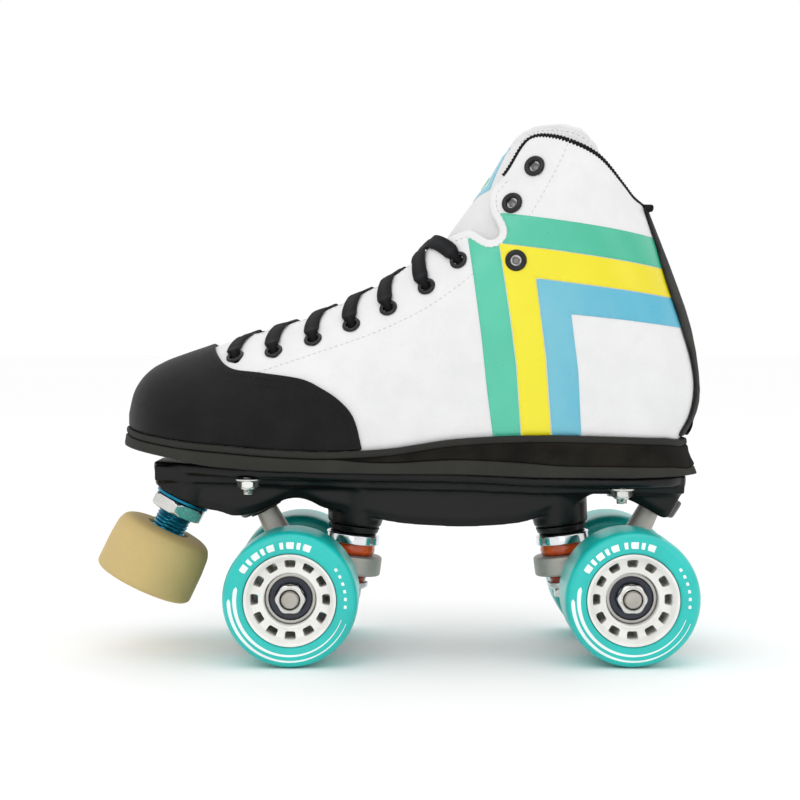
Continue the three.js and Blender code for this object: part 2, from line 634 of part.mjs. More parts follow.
function plateBosses(truck) {
  const kingpin = truckPoint(truck, KINGPIN_TOP);
  const pivot = truckPoint(truck, PIVOT_TIP);
  return [
    leaningRod(kingpin, truck.facing * KINGPIN_TILT, 0, BOSS_HEIGHT, BOSS_DIAMETER / 2),
    leaningRod(pivot, truck.facing * armTilt, -PIVOT_CUP_BELOW + 1, 5, PIVOT_BOSS_DIAMETER / 2),
  ];
}

function plateSockets(truck) {
  const kingpin = truckPoint(truck, KINGPIN_TOP);
  const pivot = truckPoint(truck, PIVOT_TIP);
  const cupTop = PIVOT_PIN_DIAMETER / 2 + GAP + PIVOT_CUP_FLOOR + GAP;
  return [
    leaningRod(kingpin, truck.facing * KINGPIN_TILT, -4, KINGPIN_HOLD + GAP, KINGPIN_DIAMETER / 2 + GAP),
    leaningRod(pivot, truck.facing * armTilt, -20, cupTop, PIVOT_CUP_DIAMETER / 2 + GAP),
  ];
}

function plate() {
  const xs = [...new Set([...stations(PLATE_NOSE_X, PLATE_TAIL_X, 18), -72])].sort((a, b) => a - b);
  const flange = layer(xs, flangeHalf, plateTop, (x) => plateTop(x) - FLANGE_THICKNESS);
  const top = xs.map((x) => [x, plateTop(x) - 1]);
  const keel = prism([...top, ...KEEL_EDGE], KEEL_WIDTH / 2);
  const bosses = TRUCKS.flatMap(plateBosses);
  const stem = leaningRod(STOP_FACE, STOP_TILT, 0, 60, STOP_STEM_DIAMETER / 2 + GAP);
  const collar = leaningRod(STOP_FACE, STOP_TILT, STOP_PLATE_DISTANCE, STOP_PLATE_DISTANCE + 9, 15);
  const body = join(flange, keel, collar, ...bosses);
  return cut(body, stem, ...TRUCKS.flatMap(plateSockets), ...boltHoles(GAP));
}

function mountBolt(x, y) {
  const headLow = Math.max(boardTop(x - BOLT_HEAD_DIAMETER / 2), boardTop(x + BOLT_HEAD_DIAMETER / 2)) + GAP;
  const nutTop = plateTop(x) - FLANGE_THICKNESS - GAP - BOLT_WASHER_HEIGHT;
  const low = nutTop - BOLT_NUT_HEIGHT - BOLT_END_PAST_NUT;
  const shank = new THREE.CylinderGeometry(BOLT_DIAMETER / 2, BOLT_DIAMETER / 2, headLow + 0.5 - low, 8);
  const head = new THREE.CylinderGeometry(3, BOLT_HEAD_DIAMETER / 2, BOLT_HEAD_HEIGHT, 10);
  shank.rotateX(Math.PI / 2).translate(x, y, (headLow + 0.5 + low) / 2);
  head.rotateX(Math.PI / 2).translate(x, y, headLow + BOLT_HEAD_HEIGHT / 2);
  return join(shank, head);
}

function mountNut(x, y) {
  const high = plateTop(x) - FLANGE_THICKNESS - GAP;
  const low = high - BOLT_WASHER_HEIGHT - BOLT_NUT_HEIGHT;
  const washer = leaningRod([x, high], 0, -BOLT_WASHER_HEIGHT, 0, BOLT_WASHER_DIAMETER / 2);
  const corner = BOLT_NUT_FLATS / 2 / Math.cos(Math.PI / 6);
  const nut = leaningRod([x, low], 0, 0, BOLT_NUT_HEIGHT + 0.5, corner, corner, 6);
  const bore = leaningRod([x, high], 0, -20, 20, BOLT_DIAMETER / 2 + GAP, BOLT_DIAMETER / 2 + GAP, 8);
  return cut(join(washer, nut), bore).translate([0, y, 0]);
}

// ---- toe stop ------------------------------------------------------------------------------------

function stopPad() {
  const radius = STOP_PAD_DIAMETER / 2;
  const outline = [
    [0, -STOP_PAD_HEIGHT], [radius - 1.5, -STOP_PAD_HEIGHT], [radius, -STOP_PAD_HEIGHT + 1.5],
    [radius, -STOP_SHOULDER], [radius - STOP_SHOULDER, 0], [0, 0],
  ];
  const pad = turned(outline, 24).rotateX(Math.PI / 2);
  const socket = leaningRod([0, 0], 0, -STOP_STEM_SINK - GAP, 5, STOP_STEM_DIAMETER / 2 + GAP);
  return toMesh('toe_stop_pad', cut(toSolid(pad), socket), STOP_RUBBER);
}

function stopStem() {
  const rod = leaningRod([0, 0], 0, -STOP_STEM_SINK, STOP_STEM_LENGTH, STOP_STEM_DIAMETER / 2);
  return toMesh('toe_stop_stem', toSolid(rod), STEM_METAL);
}

function toeStop() {
  const group = new THREE.Group();
  const bore = STOP_STEM_DIAMETER + 2 * GAP;
  const washerTop = STOP_PLATE_DISTANCE - GAP;
  const washerLow = washerTop - STOP_WASHER_HEIGHT;
  const washer = ring(STOP_WASHER_DIAMETER, bore, washerLow, washerTop, 20);
  const nut = hexagonNut(STOP_NUT_FLATS, bore, washerLow - GAP - STOP_NUT_HEIGHT, washerLow - GAP);
  group.add(
    stopPad(),
    stopStem(),
    toMesh('toe_stop_washer', toSolid(washer), STEM_METAL),
    toMesh('toe_stop_nut', toSolid(nut), ZINC),
  );
  group.rotation.y = radians(STOP_TILT);
  group.position.set(STOP_FACE[0], 0, STOP_FACE[1]);
  return group;
}

// ---- trucks --------------------------------------------------------------------------------------

// Distances down the kingpin from the plate to each piece on it.
const WASHER_TOP = GAP;
const TOP_CUSHION_TOP = WASHER_TOP + CUP_WASHER_HEIGHT + GAP;
const RING_TOP = TOP_CUSHION_TOP + TOP_CUSHION_HEIGHT + GAP;
const BOTTOM_CUSHION_TOP = RING_TOP + RING_HEIGHT + GAP;
const BOTTOM_WASHER_TOP = BOTTOM_CUSHION_TOP + BOTTOM_CUSHION_HEIGHT + GAP;
const KINGPIN_NUT_TOP = BOTTOM_WASHER_TOP + BOTTOM_WASHER_HEIGHT + GAP;
const KINGPIN_FOOT = KINGPIN_NUT_TOP + KINGPIN_NUT_HEIGHT + 0.6;
const ON_KINGPIN = KINGPIN_DIAMETER + 2 * GAP;
const BEARING_FACE = BEARING_SPACING / 2 + BEARING_WIDTH;
const BEAM_REACH = WHEEL_INNER_FACE + WHEEL_WIDTH / 2 - BEARING_FACE - GAP;
const NUT_INNER_FACE = WHEEL_INNER_FACE + WHEEL_WIDTH / 2 + BEARING_FACE + GAP;
const AXLE_HALF = NUT_INNER_FACE + AXLE_NUT_HEIGHT + AXLE_END_PAST_NUT;

// A piece on the kingpin, from one distance below the plate to another.
const onKingpin = (geometry) => leaning(geometry, KINGPIN_TOP, KINGPIN_TILT);

const crossRod = (diameter, half, sides) =>
  new THREE.CylinderGeometry(diameter / 2, diameter / 2, 2 * half, sides);

function hanger() {
  const ringCentre = -(RING_TOP + RING_HEIGHT / 2);
  const low = ringCentre - RING_HEIGHT / 2;
  const high = ringCentre + RING_HEIGHT / 2;
  const bore = leaningRod(KINGPIN_TOP, KINGPIN_TILT, low - 3, high + 3, RING_BORE / 2);
  const hoop = leaningRod(KINGPIN_TOP, KINGPIN_TILT, low, high, RING_DIAMETER / 2, RING_DIAMETER / 2, 16);
  const armLength = Math.hypot(PIVOT_TIP[0] - PIVOT_ARM_BASE[0], PIVOT_TIP[1] - PIVOT_ARM_BASE[1]);
  const arm = leaningRod(PIVOT_TIP, armTilt, -armLength, 0, PIVOT_ARM_RADIUS, PIVOT_PIN_DIAMETER / 2);
  const ball = new THREE.SphereGeometry(PIVOT_PIN_DIAMETER / 2, 10, 6).rotateX(Math.PI / 2);
  const body = join(
    crossRod(BEAM_DIAMETER, WHEEL_INNER_FACE - 1, 12),
    crossRod(JOURNAL_DIAMETER, BEAM_REACH, 12),
    prism(HANGER_WEB, HANGER_WEB_HALF),
    hoop,
    arm,
    leaning(ball, PIVOT_TIP, armTilt),
  );
  return cut(body, bore, crossRod(AXLE_DIAMETER + 2 * GAP, 60, 12));
}

function pivotCup() {
  const radius = PIVOT_CUP_DIAMETER / 2;
  const bore = PIVOT_PIN_DIAMETER / 2 + PIVOT_PLAY;
  const floor = PIVOT_PIN_DIAMETER / 2 + GAP;
  const outline = [
    [bore, -PIVOT_CUP_BELOW], [radius, -PIVOT_CUP_BELOW], [radius, floor + PIVOT_CUP_FLOOR],
    [0, floor + PIVOT_CUP_FLOOR], [0, floor], [bore - 2.4, floor - 0.8], [bore, floor - 3.4],
  ];
  return leaning(turned(outline, 12).rotateX(Math.PI / 2), PIVOT_TIP, armTilt);
}

function cushion(diameter, top, height) {
  const radius = diameter / 2;
  const bore = ON_KINGPIN / 2;
  const outline = [
    [bore, -top - height], [radius - 1.5, -top - height], [radius, -top - height + 2],
    [radius, -top - 2], [radius - 1.5, -top], [bore, -top],
  ];
  return onKingpin(turned(outline, 12).rotateX(Math.PI / 2));
}

function truck({ end, x, facing }) {
  const group = new THREE.Group();
  const add = (name, solid, material) => group.add(toMesh(`${end}_${name}`, solid, material));
  const kingpinRing = (outside, top, height) => onKingpin(ring(outside, ON_KINGPIN, -top - height, -top));
  const kingpin = leaningRod(KINGPIN_TOP, KINGPIN_TILT, -KINGPIN_FOOT, KINGPIN_HOLD, KINGPIN_DIAMETER / 2);
  const nutLow = -KINGPIN_NUT_TOP - KINGPIN_NUT_HEIGHT;
  add('hanger', hanger(), CAST_METAL);
  add('axle', toSolid(crossRod(AXLE_DIAMETER, AXLE_HALF, 12)), ZINC);
  add('kingpin', toSolid(kingpin), ZINC);
  add('kingpin_nut', toSolid(onKingpin(hexagonNut(KINGPIN_NUT_FLATS, ON_KINGPIN, nutLow, -KINGPIN_NUT_TOP))), ZINC);
  add('pivot_cup', toSolid(pivotCup()), CUP_PLASTIC);
  add('top_washer', toSolid(kingpinRing(CUP_WASHER_DIAMETER, WASHER_TOP, CUP_WASHER_HEIGHT)), CHROME);
  add('top_cushion', toSolid(cushion(TOP_CUSHION_DIAMETER, TOP_CUSHION_TOP, TOP_CUSHION_HEIGHT)), CUSHION);
  const lower = cushion(BOTTOM_CUSHION_DIAMETER, BOTTOM_CUSHION_TOP, BOTTOM_CUSHION_HEIGHT);
  add('bottom_cushion', toSolid(lower), CUSHION);
  const washer = kingpinRing(BOTTOM_WASHER_DIAMETER, BOTTOM_WASHER_TOP, BOTTOM_WASHER_HEIGHT);
  add('bottom_washer', toSolid(washer), CHROME);
  group.position.set(x, 0, AXLE_Z);
  group.rotation.z = facing > 0 ? 0 : Math.PI;
  return group;
}

// ---- wheels --------------------------------------------------------------------------------------

// A wheel is made about its own middle, its outer face towards -y.
function tyre() {
  const radius = WHEEL_DIAMETER / 2 / Math.cos(Math.PI / TYRE_SIDES);
  const inside = HUB_DIAMETER / 2 + GAP;
  const half = WHEEL_WIDTH / 2;
  const outline = [
    [inside, -half + 0.4], [radius - LIP, -half], [radius - 0.3 * LIP, -half + 0.3 * LIP],
    [radius, -half + LIP], [radius, half - LIP], [radius - 0.3 * LIP, half - 0.3 * LIP],
    [radius - LIP, half], [inside, half - 0.4],
  ];
  return toSolid(turned(outline, TYRE_SIDES, Math.PI / TYRE_SIDES));
}

function hub() {
  const outside = HUB_DIAMETER / 2;
  const rim = outside - HUB_RIM_WALL;
  const seat = BEARING_OUTSIDE / 2 + GAP;
  const windowFrom = seat + HUB_SEAT_WALL;
  const windowTo = rim - HUB_WINDOW_MARGIN;
  const outline = [
    [seat, -BEARING_FACE], [rim, -HUB_WEB / 2], [rim, -HUB_LENGTH / 2], [outside, -HUB_LENGTH / 2],
    [outside, HUB_LENGTH / 2], [rim, HUB_LENGTH / 2], [rim, HUB_WEB / 2], [seat, BEARING_FACE],
  ];
  const windows = [...Array(HUB_WINDOWS).keys()].map((k) => {
    const box = new THREE.BoxGeometry(windowTo - windowFrom, 4 * BEARING_FACE, HUB_WINDOW_WIDTH);
    return box.translate((windowTo + windowFrom) / 2, 0, 0).rotateY(((k + 0.25) * 2 * Math.PI) / HUB_WINDOWS);
  });
  return cut(toSolid(turned(outline, 2 * HUB_WINDOWS)), ...windows);
}

function bearing(inward) {
  const low = inward * (BEARING_SPACING / 2 + BEARING_WIDTH / 2) - BEARING_WIDTH / 2;
  const outline = [
    [BEARING_BORE / 2, low], [BEARING_OUTSIDE / 2, low],
    [BEARING_OUTSIDE / 2, low + BEARING_WIDTH], [BEARING_BORE / 2, low + BEARING_WIDTH],
  ];
  return toSolid(turned(outline, 12));
}

function axleNut() {
  const nut = hexagonNut(AXLE_NUT_FLATS, AXLE_DIAMETER + 2 * GAP, 0, AXLE_NUT_HEIGHT);
  return toSolid(nut.rotateX(Math.PI / 2).translate(0, WHEEL_INNER_FACE + WHEEL_WIDTH / 2 - NUT_INNER_FACE, 0));
}

function wheel(end, x, side) {
  const group = new THREE.Group();
  const label = `${end}_${side < 0 ? 'left' : 'right'}`;
  group.add(
    toMesh(`${label}_tyre`, tyre(), URETHANE),
    toMesh(`${label}_hub`, hub(), HUB_PLASTIC),
    toMesh(`${label}_outer_bearing`, bearing(-1), BEARING_STEEL),
    toMesh(`${label}_inner_bearing`, bearing(1), BEARING_STEEL),
    toMesh(`${label}_axle_nut`, axleNut(), ZINC),
  );
  group.position.set(x, side * (WHEEL_INNER_FACE + WHEEL_WIDTH / 2), AXLE_Z);
  group.rotation.z = side < 0 ? 0 : Math.PI;
  return group;
}

// ---- the skate -----------------------------------------------------------------------------------

const skate = new THREE.Group();
skate.add(
  toMesh('boot_upper', bootUpper(), WHITE_LEATHER),
  toMesh('toe_cap', toeCap(), BLACK_LEATHER),
  toMesh('backstay', backstay(), BLACK_LEATHER),
  toMesh('tongue', tongue(), LINING),
  toMesh('insole', insole(), LINING),
  toMesh('lace', lace(), LACE_FABRIC),
  toMesh('midsole', midsole(), WELT_RUBBER),
  toMesh('heel_wedge', heelWedge(), WEDGE_RUBBER),
  toMesh('outsole', outsole(), OUTSOLE_RUBBER),
  toMesh('plate', plate(), NYLON),
  toeStop(),
);
for (const { end, x, half } of BOLT_SETS) {
  for (const [label, y] of [['left', -half], ['right', half]]) {
    skate.add(toMesh(`${end}_${label}_mount_bolt`, mountBolt(x, y), ZINC));
    skate.add(toMesh(`${end}_${label}_mount_nut`, mountNut(x, y), ZINC));
  }
}
for (const place of TRUCKS) {
  skate.add(truck(place), wheel(place.end, place.x, -1), wheel(place.end, place.x, 1));
}

const whole = new THREE.Box3().setFromObject(skate);
skate.position.x = -(whole.min.x + whole.max.x) / 2;

export default skate;
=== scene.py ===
"""The finished surfaces of a quad roller skate, built over the fixed frame of its CAD model."""
import itertools
import math
from functools import partial

import bmesh
import bpy
import numpy as np
from bpy.props import FloatProperty, FloatVectorProperty, IntProperty, PointerProperty
from bpy.types import Operator, Panel, PropertyGroup
from mathutils import Matrix, Vector
from mathutils.bvhtree import BVHTree


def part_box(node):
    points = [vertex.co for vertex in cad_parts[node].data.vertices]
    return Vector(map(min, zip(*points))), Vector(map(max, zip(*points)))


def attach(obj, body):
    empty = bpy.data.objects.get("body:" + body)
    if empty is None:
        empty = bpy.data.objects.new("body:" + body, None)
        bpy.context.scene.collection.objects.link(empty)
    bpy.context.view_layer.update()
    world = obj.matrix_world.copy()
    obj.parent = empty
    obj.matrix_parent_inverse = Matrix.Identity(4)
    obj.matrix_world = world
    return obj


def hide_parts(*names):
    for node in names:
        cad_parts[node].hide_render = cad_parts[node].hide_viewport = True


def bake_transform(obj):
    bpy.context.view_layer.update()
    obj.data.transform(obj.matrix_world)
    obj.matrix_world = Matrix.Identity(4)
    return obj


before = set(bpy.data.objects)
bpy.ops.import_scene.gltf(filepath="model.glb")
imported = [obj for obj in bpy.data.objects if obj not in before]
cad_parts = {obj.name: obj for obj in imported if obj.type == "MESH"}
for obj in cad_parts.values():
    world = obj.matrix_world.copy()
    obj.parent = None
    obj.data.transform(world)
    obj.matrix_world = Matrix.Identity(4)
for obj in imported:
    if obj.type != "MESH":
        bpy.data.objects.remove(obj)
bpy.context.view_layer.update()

bl_info = {
    "name": "Quad Roller Skate",
    "version": (1, 0, 0),
    "blender": (4, 5, 0),
    "location": "3D View > Sidebar > Skate",
    "description": "Builds the boot, plate, trucks, wheels and toe stop of a roller skate",
    "category": "Object",
}

MM = 0.001
ENDS = ("front", "rear")
SIDES = {"left": -1, "right": 1}
BOOT = "boot_and_plate"


def corners(node):
    """The low and high corner of a CAD node's box, in millimetres."""
    return [np.array(corner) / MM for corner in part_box(node)]


def middle(node):
    """The middle of a CAD node's box, in millimetres."""
    return sum(corners(node)) / 2


def unit(vectors):
    return vectors / np.linalg.norm(vectors, axis=1)[:, None]


# The boot's lines below are drawn with the front axle here; the frame may stand elsewhere along x.
DRAWN_FRONT_AXLE_X = -47.5
SHIFT = middle("front_axle")[0] - DRAWN_FRONT_AXLE_X
AXLE_X = {end: middle(end + "_axle")[0] for end in ENDS}
AXLE_Z = middle("front_axle")[2]
FACING = {"front": 1, "rear": -1}      # the kingpin stands towards the skate's middle


# ---- lines and outlines ---------------------------------------------------------------------------

def smooth(value, start, end):
    t = np.clip((value - start) / (end - start), 0, 1)
    return t * t * (3 - 2 * t)


def spline(points, shares):
    """Points of a uniform Catmull-Rom curve through the given ones."""
    points = np.asarray(points, float)
    place = np.clip(np.asarray(shares, float), 0, 1) * (len(points) - 1)
    k = np.minimum(place.astype(int), len(points) - 2)
    t = (place - k)[:, None]
    p0, p1, p2, p3 = (points[np.clip(k + step, 0, len(points) - 1)] for step in (-1, 0, 1, 2))
    tangent_in, tangent_out = (p2 - p0) / 2, (p3 - p1) / 2
    return ((2 * t**3 - 3 * t**2 + 1) * p1 + (t**3 - 2 * t**2 + t) * tangent_in
            + (3 * t**2 - 2 * t**3) * p2 + (t**3 - t**2) * tangent_out)


def evenly(points, spacing):
    """The same line with points a set distance apart."""
    points = np.asarray(points, float)
    run = np.concatenate([[0], np.cumsum(np.linalg.norm(np.diff(points, axis=0), axis=1))])
    count = max(2, round(run[-1] / spacing) + 1)
    at = np.linspace(0, run[-1], count)
    return np.stack([np.interp(at, run, points[:, axis]) for axis in range(points.shape[1])], axis=1)


def rounded_line(points, spacing=1.0):
    return evenly(spline(points, np.linspace(0, 1, 24 * len(points))), spacing)


def beside(line, distance):
    """A line moved sideways, to its left for a positive distance."""
    line = np.asarray(line, float)
    number = np.arange(len(line))
    run = line[np.minimum(number + 1, len(line) - 1)] - line[np.maximum(number - 1, 0)]
    run = unit(run)
    return line + distance * np.stack([-run[:, 1], run[:, 0]], axis=1)


def depth_inside(outline, points):
    """How deep each 2-D point lies inside a closed outline; negative outside."""
    outline = np.asarray(outline, float)
    ends = np.roll(outline, -1, axis=0)
    nearest = np.full(len(points), np.inf)
    crossings = np.zeros(len(points), int)
    for (ax, az), (bx, bz) in zip(outline, ends):
        dx, dz = bx - ax, bz - az
        length = dx * dx + dz * dz
        if length < 1e-12:
            continue
        rx, rz = points[:, 0] - ax, points[:, 1] - az
        t = np.clip((rx * dx + rz * dz) / length, 0, 1)
        nearest = np.minimum(nearest, np.hypot(rx - t * dx, rz - t * dz))
        if dz:
            spans = (az > points[:, 1]) != (bz > points[:, 1])
            crossings += spans & (rx < rz * dx / dz)
    return np.where(crossings % 2 == 1, nearest, -nearest)


# ---- meshes ----------------------------------------------------------------------------------------
# A sheet is an array of points, whose first three columns are x, y and z in millimetres, and a list
# of faces.

def joined(*sheets):
    points, faces, start = [], [], 0
    for sheet_points, sheet_faces in sheets:
        points.append(np.asarray(sheet_points, float)[:, :3])
        faces += [tuple(v + start for v in face) for face in sheet_faces]
        start += len(sheet_points)
    return np.concatenate(points), faces


def grid_faces(rows, columns, close_rows=False, close_columns=False):
    faces = []
    for i in range(rows if close_rows else rows - 1):
        for j in range(columns if close_columns else columns - 1):
            a, b = i * columns, (i + 1) % rows * columns
            k = (j + 1) % columns
            faces.append((a + j, b + j, b + k, a + k))
    return faces


def vertex_normals(points, faces):
    normals = np.zeros((len(points), 3))
    for size in {len(face) for face in faces}:
        chosen = np.array([face for face in faces if len(face) == size])
        first = points[chosen[:, 0], :3]
        area = sum(np.cross(points[chosen[:, k], :3] - first, points[chosen[:, k + 1], :3] - first)
                   for k in range(1, size - 1))
        for k in range(size):
            np.add.at(normals, chosen[:, k], area)
    return normals / np.maximum(np.linalg.norm(normals, axis=1), 1e-9)[:, None]


def keep_where(sheet, field):
    """The part of a sheet where a field is positive, cut cleanly along its zero line."""
    points, faces = sheet
    value = field(points)
    value = np.where(np.abs(value) < 1e-5, 1e-5, value)
    inside = value > 0
    lengths = np.array([len(face) for face in faces])
    starts = np.concatenate([[0], np.cumsum(lengths)[:-1]])
    counts = np.add.reduceat(inside[np.fromiter(itertools.chain(*faces), int)].astype(int), starts)
    kept = [faces[k] for k in np.flatnonzero(counts == lengths)]
    added, seen = [], {}
    for k in np.flatnonzero((counts > 0) & (counts < lengths)):
        face, trimmed = faces[k], []
        for a, b in zip(face, face[1:] + face[:1]):
            if inside[a]:
                trimmed.append(a)
            if inside[a] != inside[b]:
                key = (min(a, b), max(a, b))
                if key not in seen:
                    seen[key] = len(points) + len(added)
                    added.append(points[a] + value[a] / (value[a] - value[b]) * (points[b] - points[a]))
                trimmed.append(seen[key])
        kept.append(tuple(trimmed))
    return tidy((np.concatenate([points, added]) if added else points, kept))


def tidy(sheet):
    """Drops the points that no face uses."""
    points, faces = sheet
    used = np.zeros(len(points), bool)
    used[np.fromiter(itertools.chain(*faces), int)] = True
    new = np.cumsum(used) - 1
    return points[used], [tuple(int(new[v]) for v in face) for face in faces]


def rim_edges(faces):
    edges = {}
    for face in faces:
        for a, b in zip(face, face[1:] + face[:1]):
            edges[(a, b)] = True
    return [(a, b) for a, b in edges if (b, a) not in edges]


def slab(sheet, thickness, bulge=0.5, rows=3, sink=None):
    """A closed piece from a sheet: its other face lies inside by the thickness, its rim is rounded.
    Columns 3 to 5 of the points, where there are any, are the normals."""
    points, faces = sheet
    normals = points[:, 3:6] if points.shape[1] >= 6 else vertex_normals(points, faces)
    outer = points[:, :3]
    inner = outer - thickness * normals if sink is None else sink
    rim = rim_edges(faces)
    outward = np.zeros((len(points), 3))
    for a, b in rim:
        direction = np.cross(outer[b] - outer[a], normals[a] + normals[b])
        outward[a] += direction
        outward[b] += direction
    outward /= np.maximum(np.linalg.norm(outward, axis=1), 1e-9)[:, None]
    on_rim = sorted({v for edge in rim for v in edge})
    number = {v: k for k, v in enumerate(on_rim)}
    layers = [outer, inner]
    gap = np.linalg.norm(inner - outer, axis=1)[on_rim][:, None]
    for row in range(1, rows + 1):
        share = row / (rows + 1)
        push = bulge * gap * math.sqrt(max(0, 1 - (1 - 2 * share) ** 2))
        layers.append(outer[on_rim] * (1 - share) + inner[on_rim] * share + push * outward[on_rim])
    count, wide = len(points), len(on_rim)
    result = list(faces) + [tuple(v + count for v in reversed(face)) for face in faces]

    def at(row, v):
        if row == 0:
            return v
        return v + count if row == rows + 1 else 2 * count + (row - 1) * wide + number[v]

    for a, b in rim:
        for row in range(rows + 1):
            result.append((at(row, b), at(row, a), at(row + 1, a), at(row + 1, b)))
    return np.concatenate(layers), result


def turned(profile, sides=64):
    """A closed profile of [radius, height] turned about +z. A radius of 0 closes to one point."""
    angles = np.arange(sides) * 2 * math.pi / sides
    points, faces, rows = [], [], []
    for radius, height in profile:
        rows.append((len(points), radius > 1e-6))
        if radius > 1e-6:
            points += [(radius * math.cos(a), radius * math.sin(a), height) for a in angles]
        else:
            points.append((0.0, 0.0, height))
    for (low, low_open), (high, high_open) in zip(rows, rows[1:] + rows[:1]):
        for j in range(sides):
            k = (j + 1) % sides
            if low_open and high_open:
                faces.append((low + j, low + k, high + k, high + j))
            elif low_open:
                faces.append((low + j, low + k, high))
            elif high_open:
                faces.append((low, high + k, high + j))
    return np.array(points), faces


def softened(profile, radius, steps=4):
    """A profile with its corners rounded."""
    profile = [np.array(p, float) for p in profile]
    result = []
    for k, corner in enumerate(profile):
        before, after = profile[k - 1] - corner, profile[(k + 1) % len(profile)] - corner
        reach = min(radius, 0.45 * np.linalg.norm(before), 0.45 * np.linalg.norm(after))
        if reach < 1e-4 or corner[0] < 1e-6:
            result.append(tuple(corner))
            continue
        a = corner + before / np.linalg.norm(before) * reach
        b = corner + after / np.linalg.norm(after) * reach
        for t in np.linspace(0, 1, steps + 1):
            result.append(tuple((1 - t) ** 2 * a + 2 * t * (1 - t) * corner + t * t * b))
    return result


def moved(sheet, matrix):
    points, faces = sheet
    matrix = np.array(matrix)
    return np.asarray(points)[:, :3] @ matrix[:3, :3].T + matrix[:3, 3], faces


def axis_frame(origin, direction):
    """A matrix whose z axis lies along a direction."""
    turn = Vector(direction).to_track_quat("Z", "Y").to_matrix().to_4x4()
    return Matrix.Translation(Vector(origin)) @ turn


def rod(start, end, radius, end_radius=None, sides=48, edge=0.4):
    """A round rod between two points, its ends' edges rounded."""
    start, end = np.array(start, float), np.array(end, float)
    length = float(np.linalg.norm(end - start))
    end_radius = radius if end_radius is None else end_radius
    profile = softened([(0, 0), (radius, 0), (end_radius, length), (0, length)], edge, 3)
    return moved(turned(profile, sides), axis_frame(start, end - start))


def ribbon(path, normals, width, thickness, around=10):
    """A flat band with rounded edges along a path; returns its sheet and its UV, in millimetres."""
    path, normals = np.asarray(path, float), np.asarray(normals, float)
    tangent = unit(np.gradient(path, axis=0))
    across = unit(np.cross(tangent, normals))
    up = np.cross(across, tangent)
    width = np.broadcast_to(np.asarray(width, float), (len(path),))
    angles = np.arange(around) * 2 * math.pi / around
    side = np.sign(np.cos(angles)) * np.abs(np.cos(angles)) ** 0.55
    lift = np.sign(np.sin(angles)) * np.abs(np.sin(angles)) ** 0.8
    points = (path[:, None] + across[:, None] * (side[None, :, None] * width[:, None, None] / 2)
              + up[:, None] * (lift[None, :, None] * thickness / 2))
    faces = grid_faces(len(path), around, close_columns=True)
    last = (len(path) - 1) * around
    faces.append(tuple(range(around)))
    faces.append(tuple(reversed(range(last, last + around))))
    run = np.concatenate([[0], np.cumsum(np.linalg.norm(np.diff(path, axis=0), axis=1))])
    uv = np.stack(np.broadcast_arrays(run[:, None], side[None] * 0.5), axis=-1)
    return points.reshape(-1, 3), faces, uv.reshape(-1, 2)


def make(name, sheet, material, smooth_angle=40, uv=None):
    """A mesh object of a sheet in drawing millimetres, placed in the frame."""
    points, faces = sheet
    mesh = bpy.data.meshes.new(name)
    mesh.from_pydata(((np.asarray(points, float)[:, :3] + (SHIFT, 0, 0)) * MM).tolist(), [], faces)
    mesh.update()
    if uv is not None:
        layer = mesh.uv_layers.new(name="UVMap")
        corners = np.empty(len(mesh.loops), np.int32)
        mesh.loops.foreach_get("vertex_index", corners)
        layer.data.foreach_set("uv", (np.asarray(uv) * MM)[corners].astype(np.float32).ravel())
    work = bmesh.new()
    work.from_mesh(mesh)
    bmesh.ops.remove_doubles(work, verts=work.verts, dist=2e-6)
    bmesh.ops.dissolve_degenerate(work, edges=work.edges, dist=1e-6)
    bmesh.ops.recalc_face_normals(work, faces=work.faces)
    work.to_mesh(mesh)
    work.free()
    return finished(bpy.data.objects.new(name, mesh), material, smooth_angle)


def finished(thing, material, smooth_angle=40):
    if thing.name not in bpy.context.scene.collection.all_objects:
        bpy.context.scene.collection.objects.link(thing)
    thing.data.materials.clear()
    thing.data.materials.append(material)
    thing.data.shade_smooth()
    thing.data.set_sharp_from_angle(angle=math.radians(smooth_angle))
    return thing


def baked(thing):
    """Applies an object's modifiers."""
    evaluated = thing.evaluated_get(bpy.context.evaluated_depsgraph_get())
    mesh = bpy.data.meshes.new_from_object(evaluated)
    old = thing.data
    thing.modifiers.clear()
    thing.data = mesh
    bpy.data.meshes.remove(old)


def moulded(name, sheets, material, voxel=0.6, smoothing=4, cutters=(), smooth_angle=50):
    """Overlapping closed shapes as one body with softly filleted joints, then bored."""
    thing = make(name, joined(*sheets), material)
    remesh = thing.modifiers.new("Remesh", "REMESH")
    remesh.mode = "VOXEL"
    remesh.voxel_size = voxel * MM
    soft = thing.modifiers.new("Soft", "SMOOTH")
    soft.factor = 0.5
    soft.iterations = smoothing
    baked(thing)
    if cutters:
        tool = make(name + "_cut", joined(*cutters), material)
        cut = thing.modifiers.new("Cut", "BOOLEAN")
        cut.object = tool
        cut.solver = "EXACT"
        cut.use_self = True
        baked(thing)
        bpy.data.objects.remove(tool)
    return finished(thing, material, smooth_angle)


def settle(thing, body, slot, *nodes):
    """A finished piece rides on its body and stands for its CAD nodes."""
    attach(thing, body)
    if nodes:
        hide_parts(*nodes)


def fit(name, sheet, finish, angle, body, slot, *nodes):
    """Makes a piece in a finish and settles it; edges sharper than the angle stay sharp."""
    settle(make(name, sheet, FINISH[finish], angle), body, slot, *nodes)


# ---- geometry nodes --------------------------------------------------------------------------------

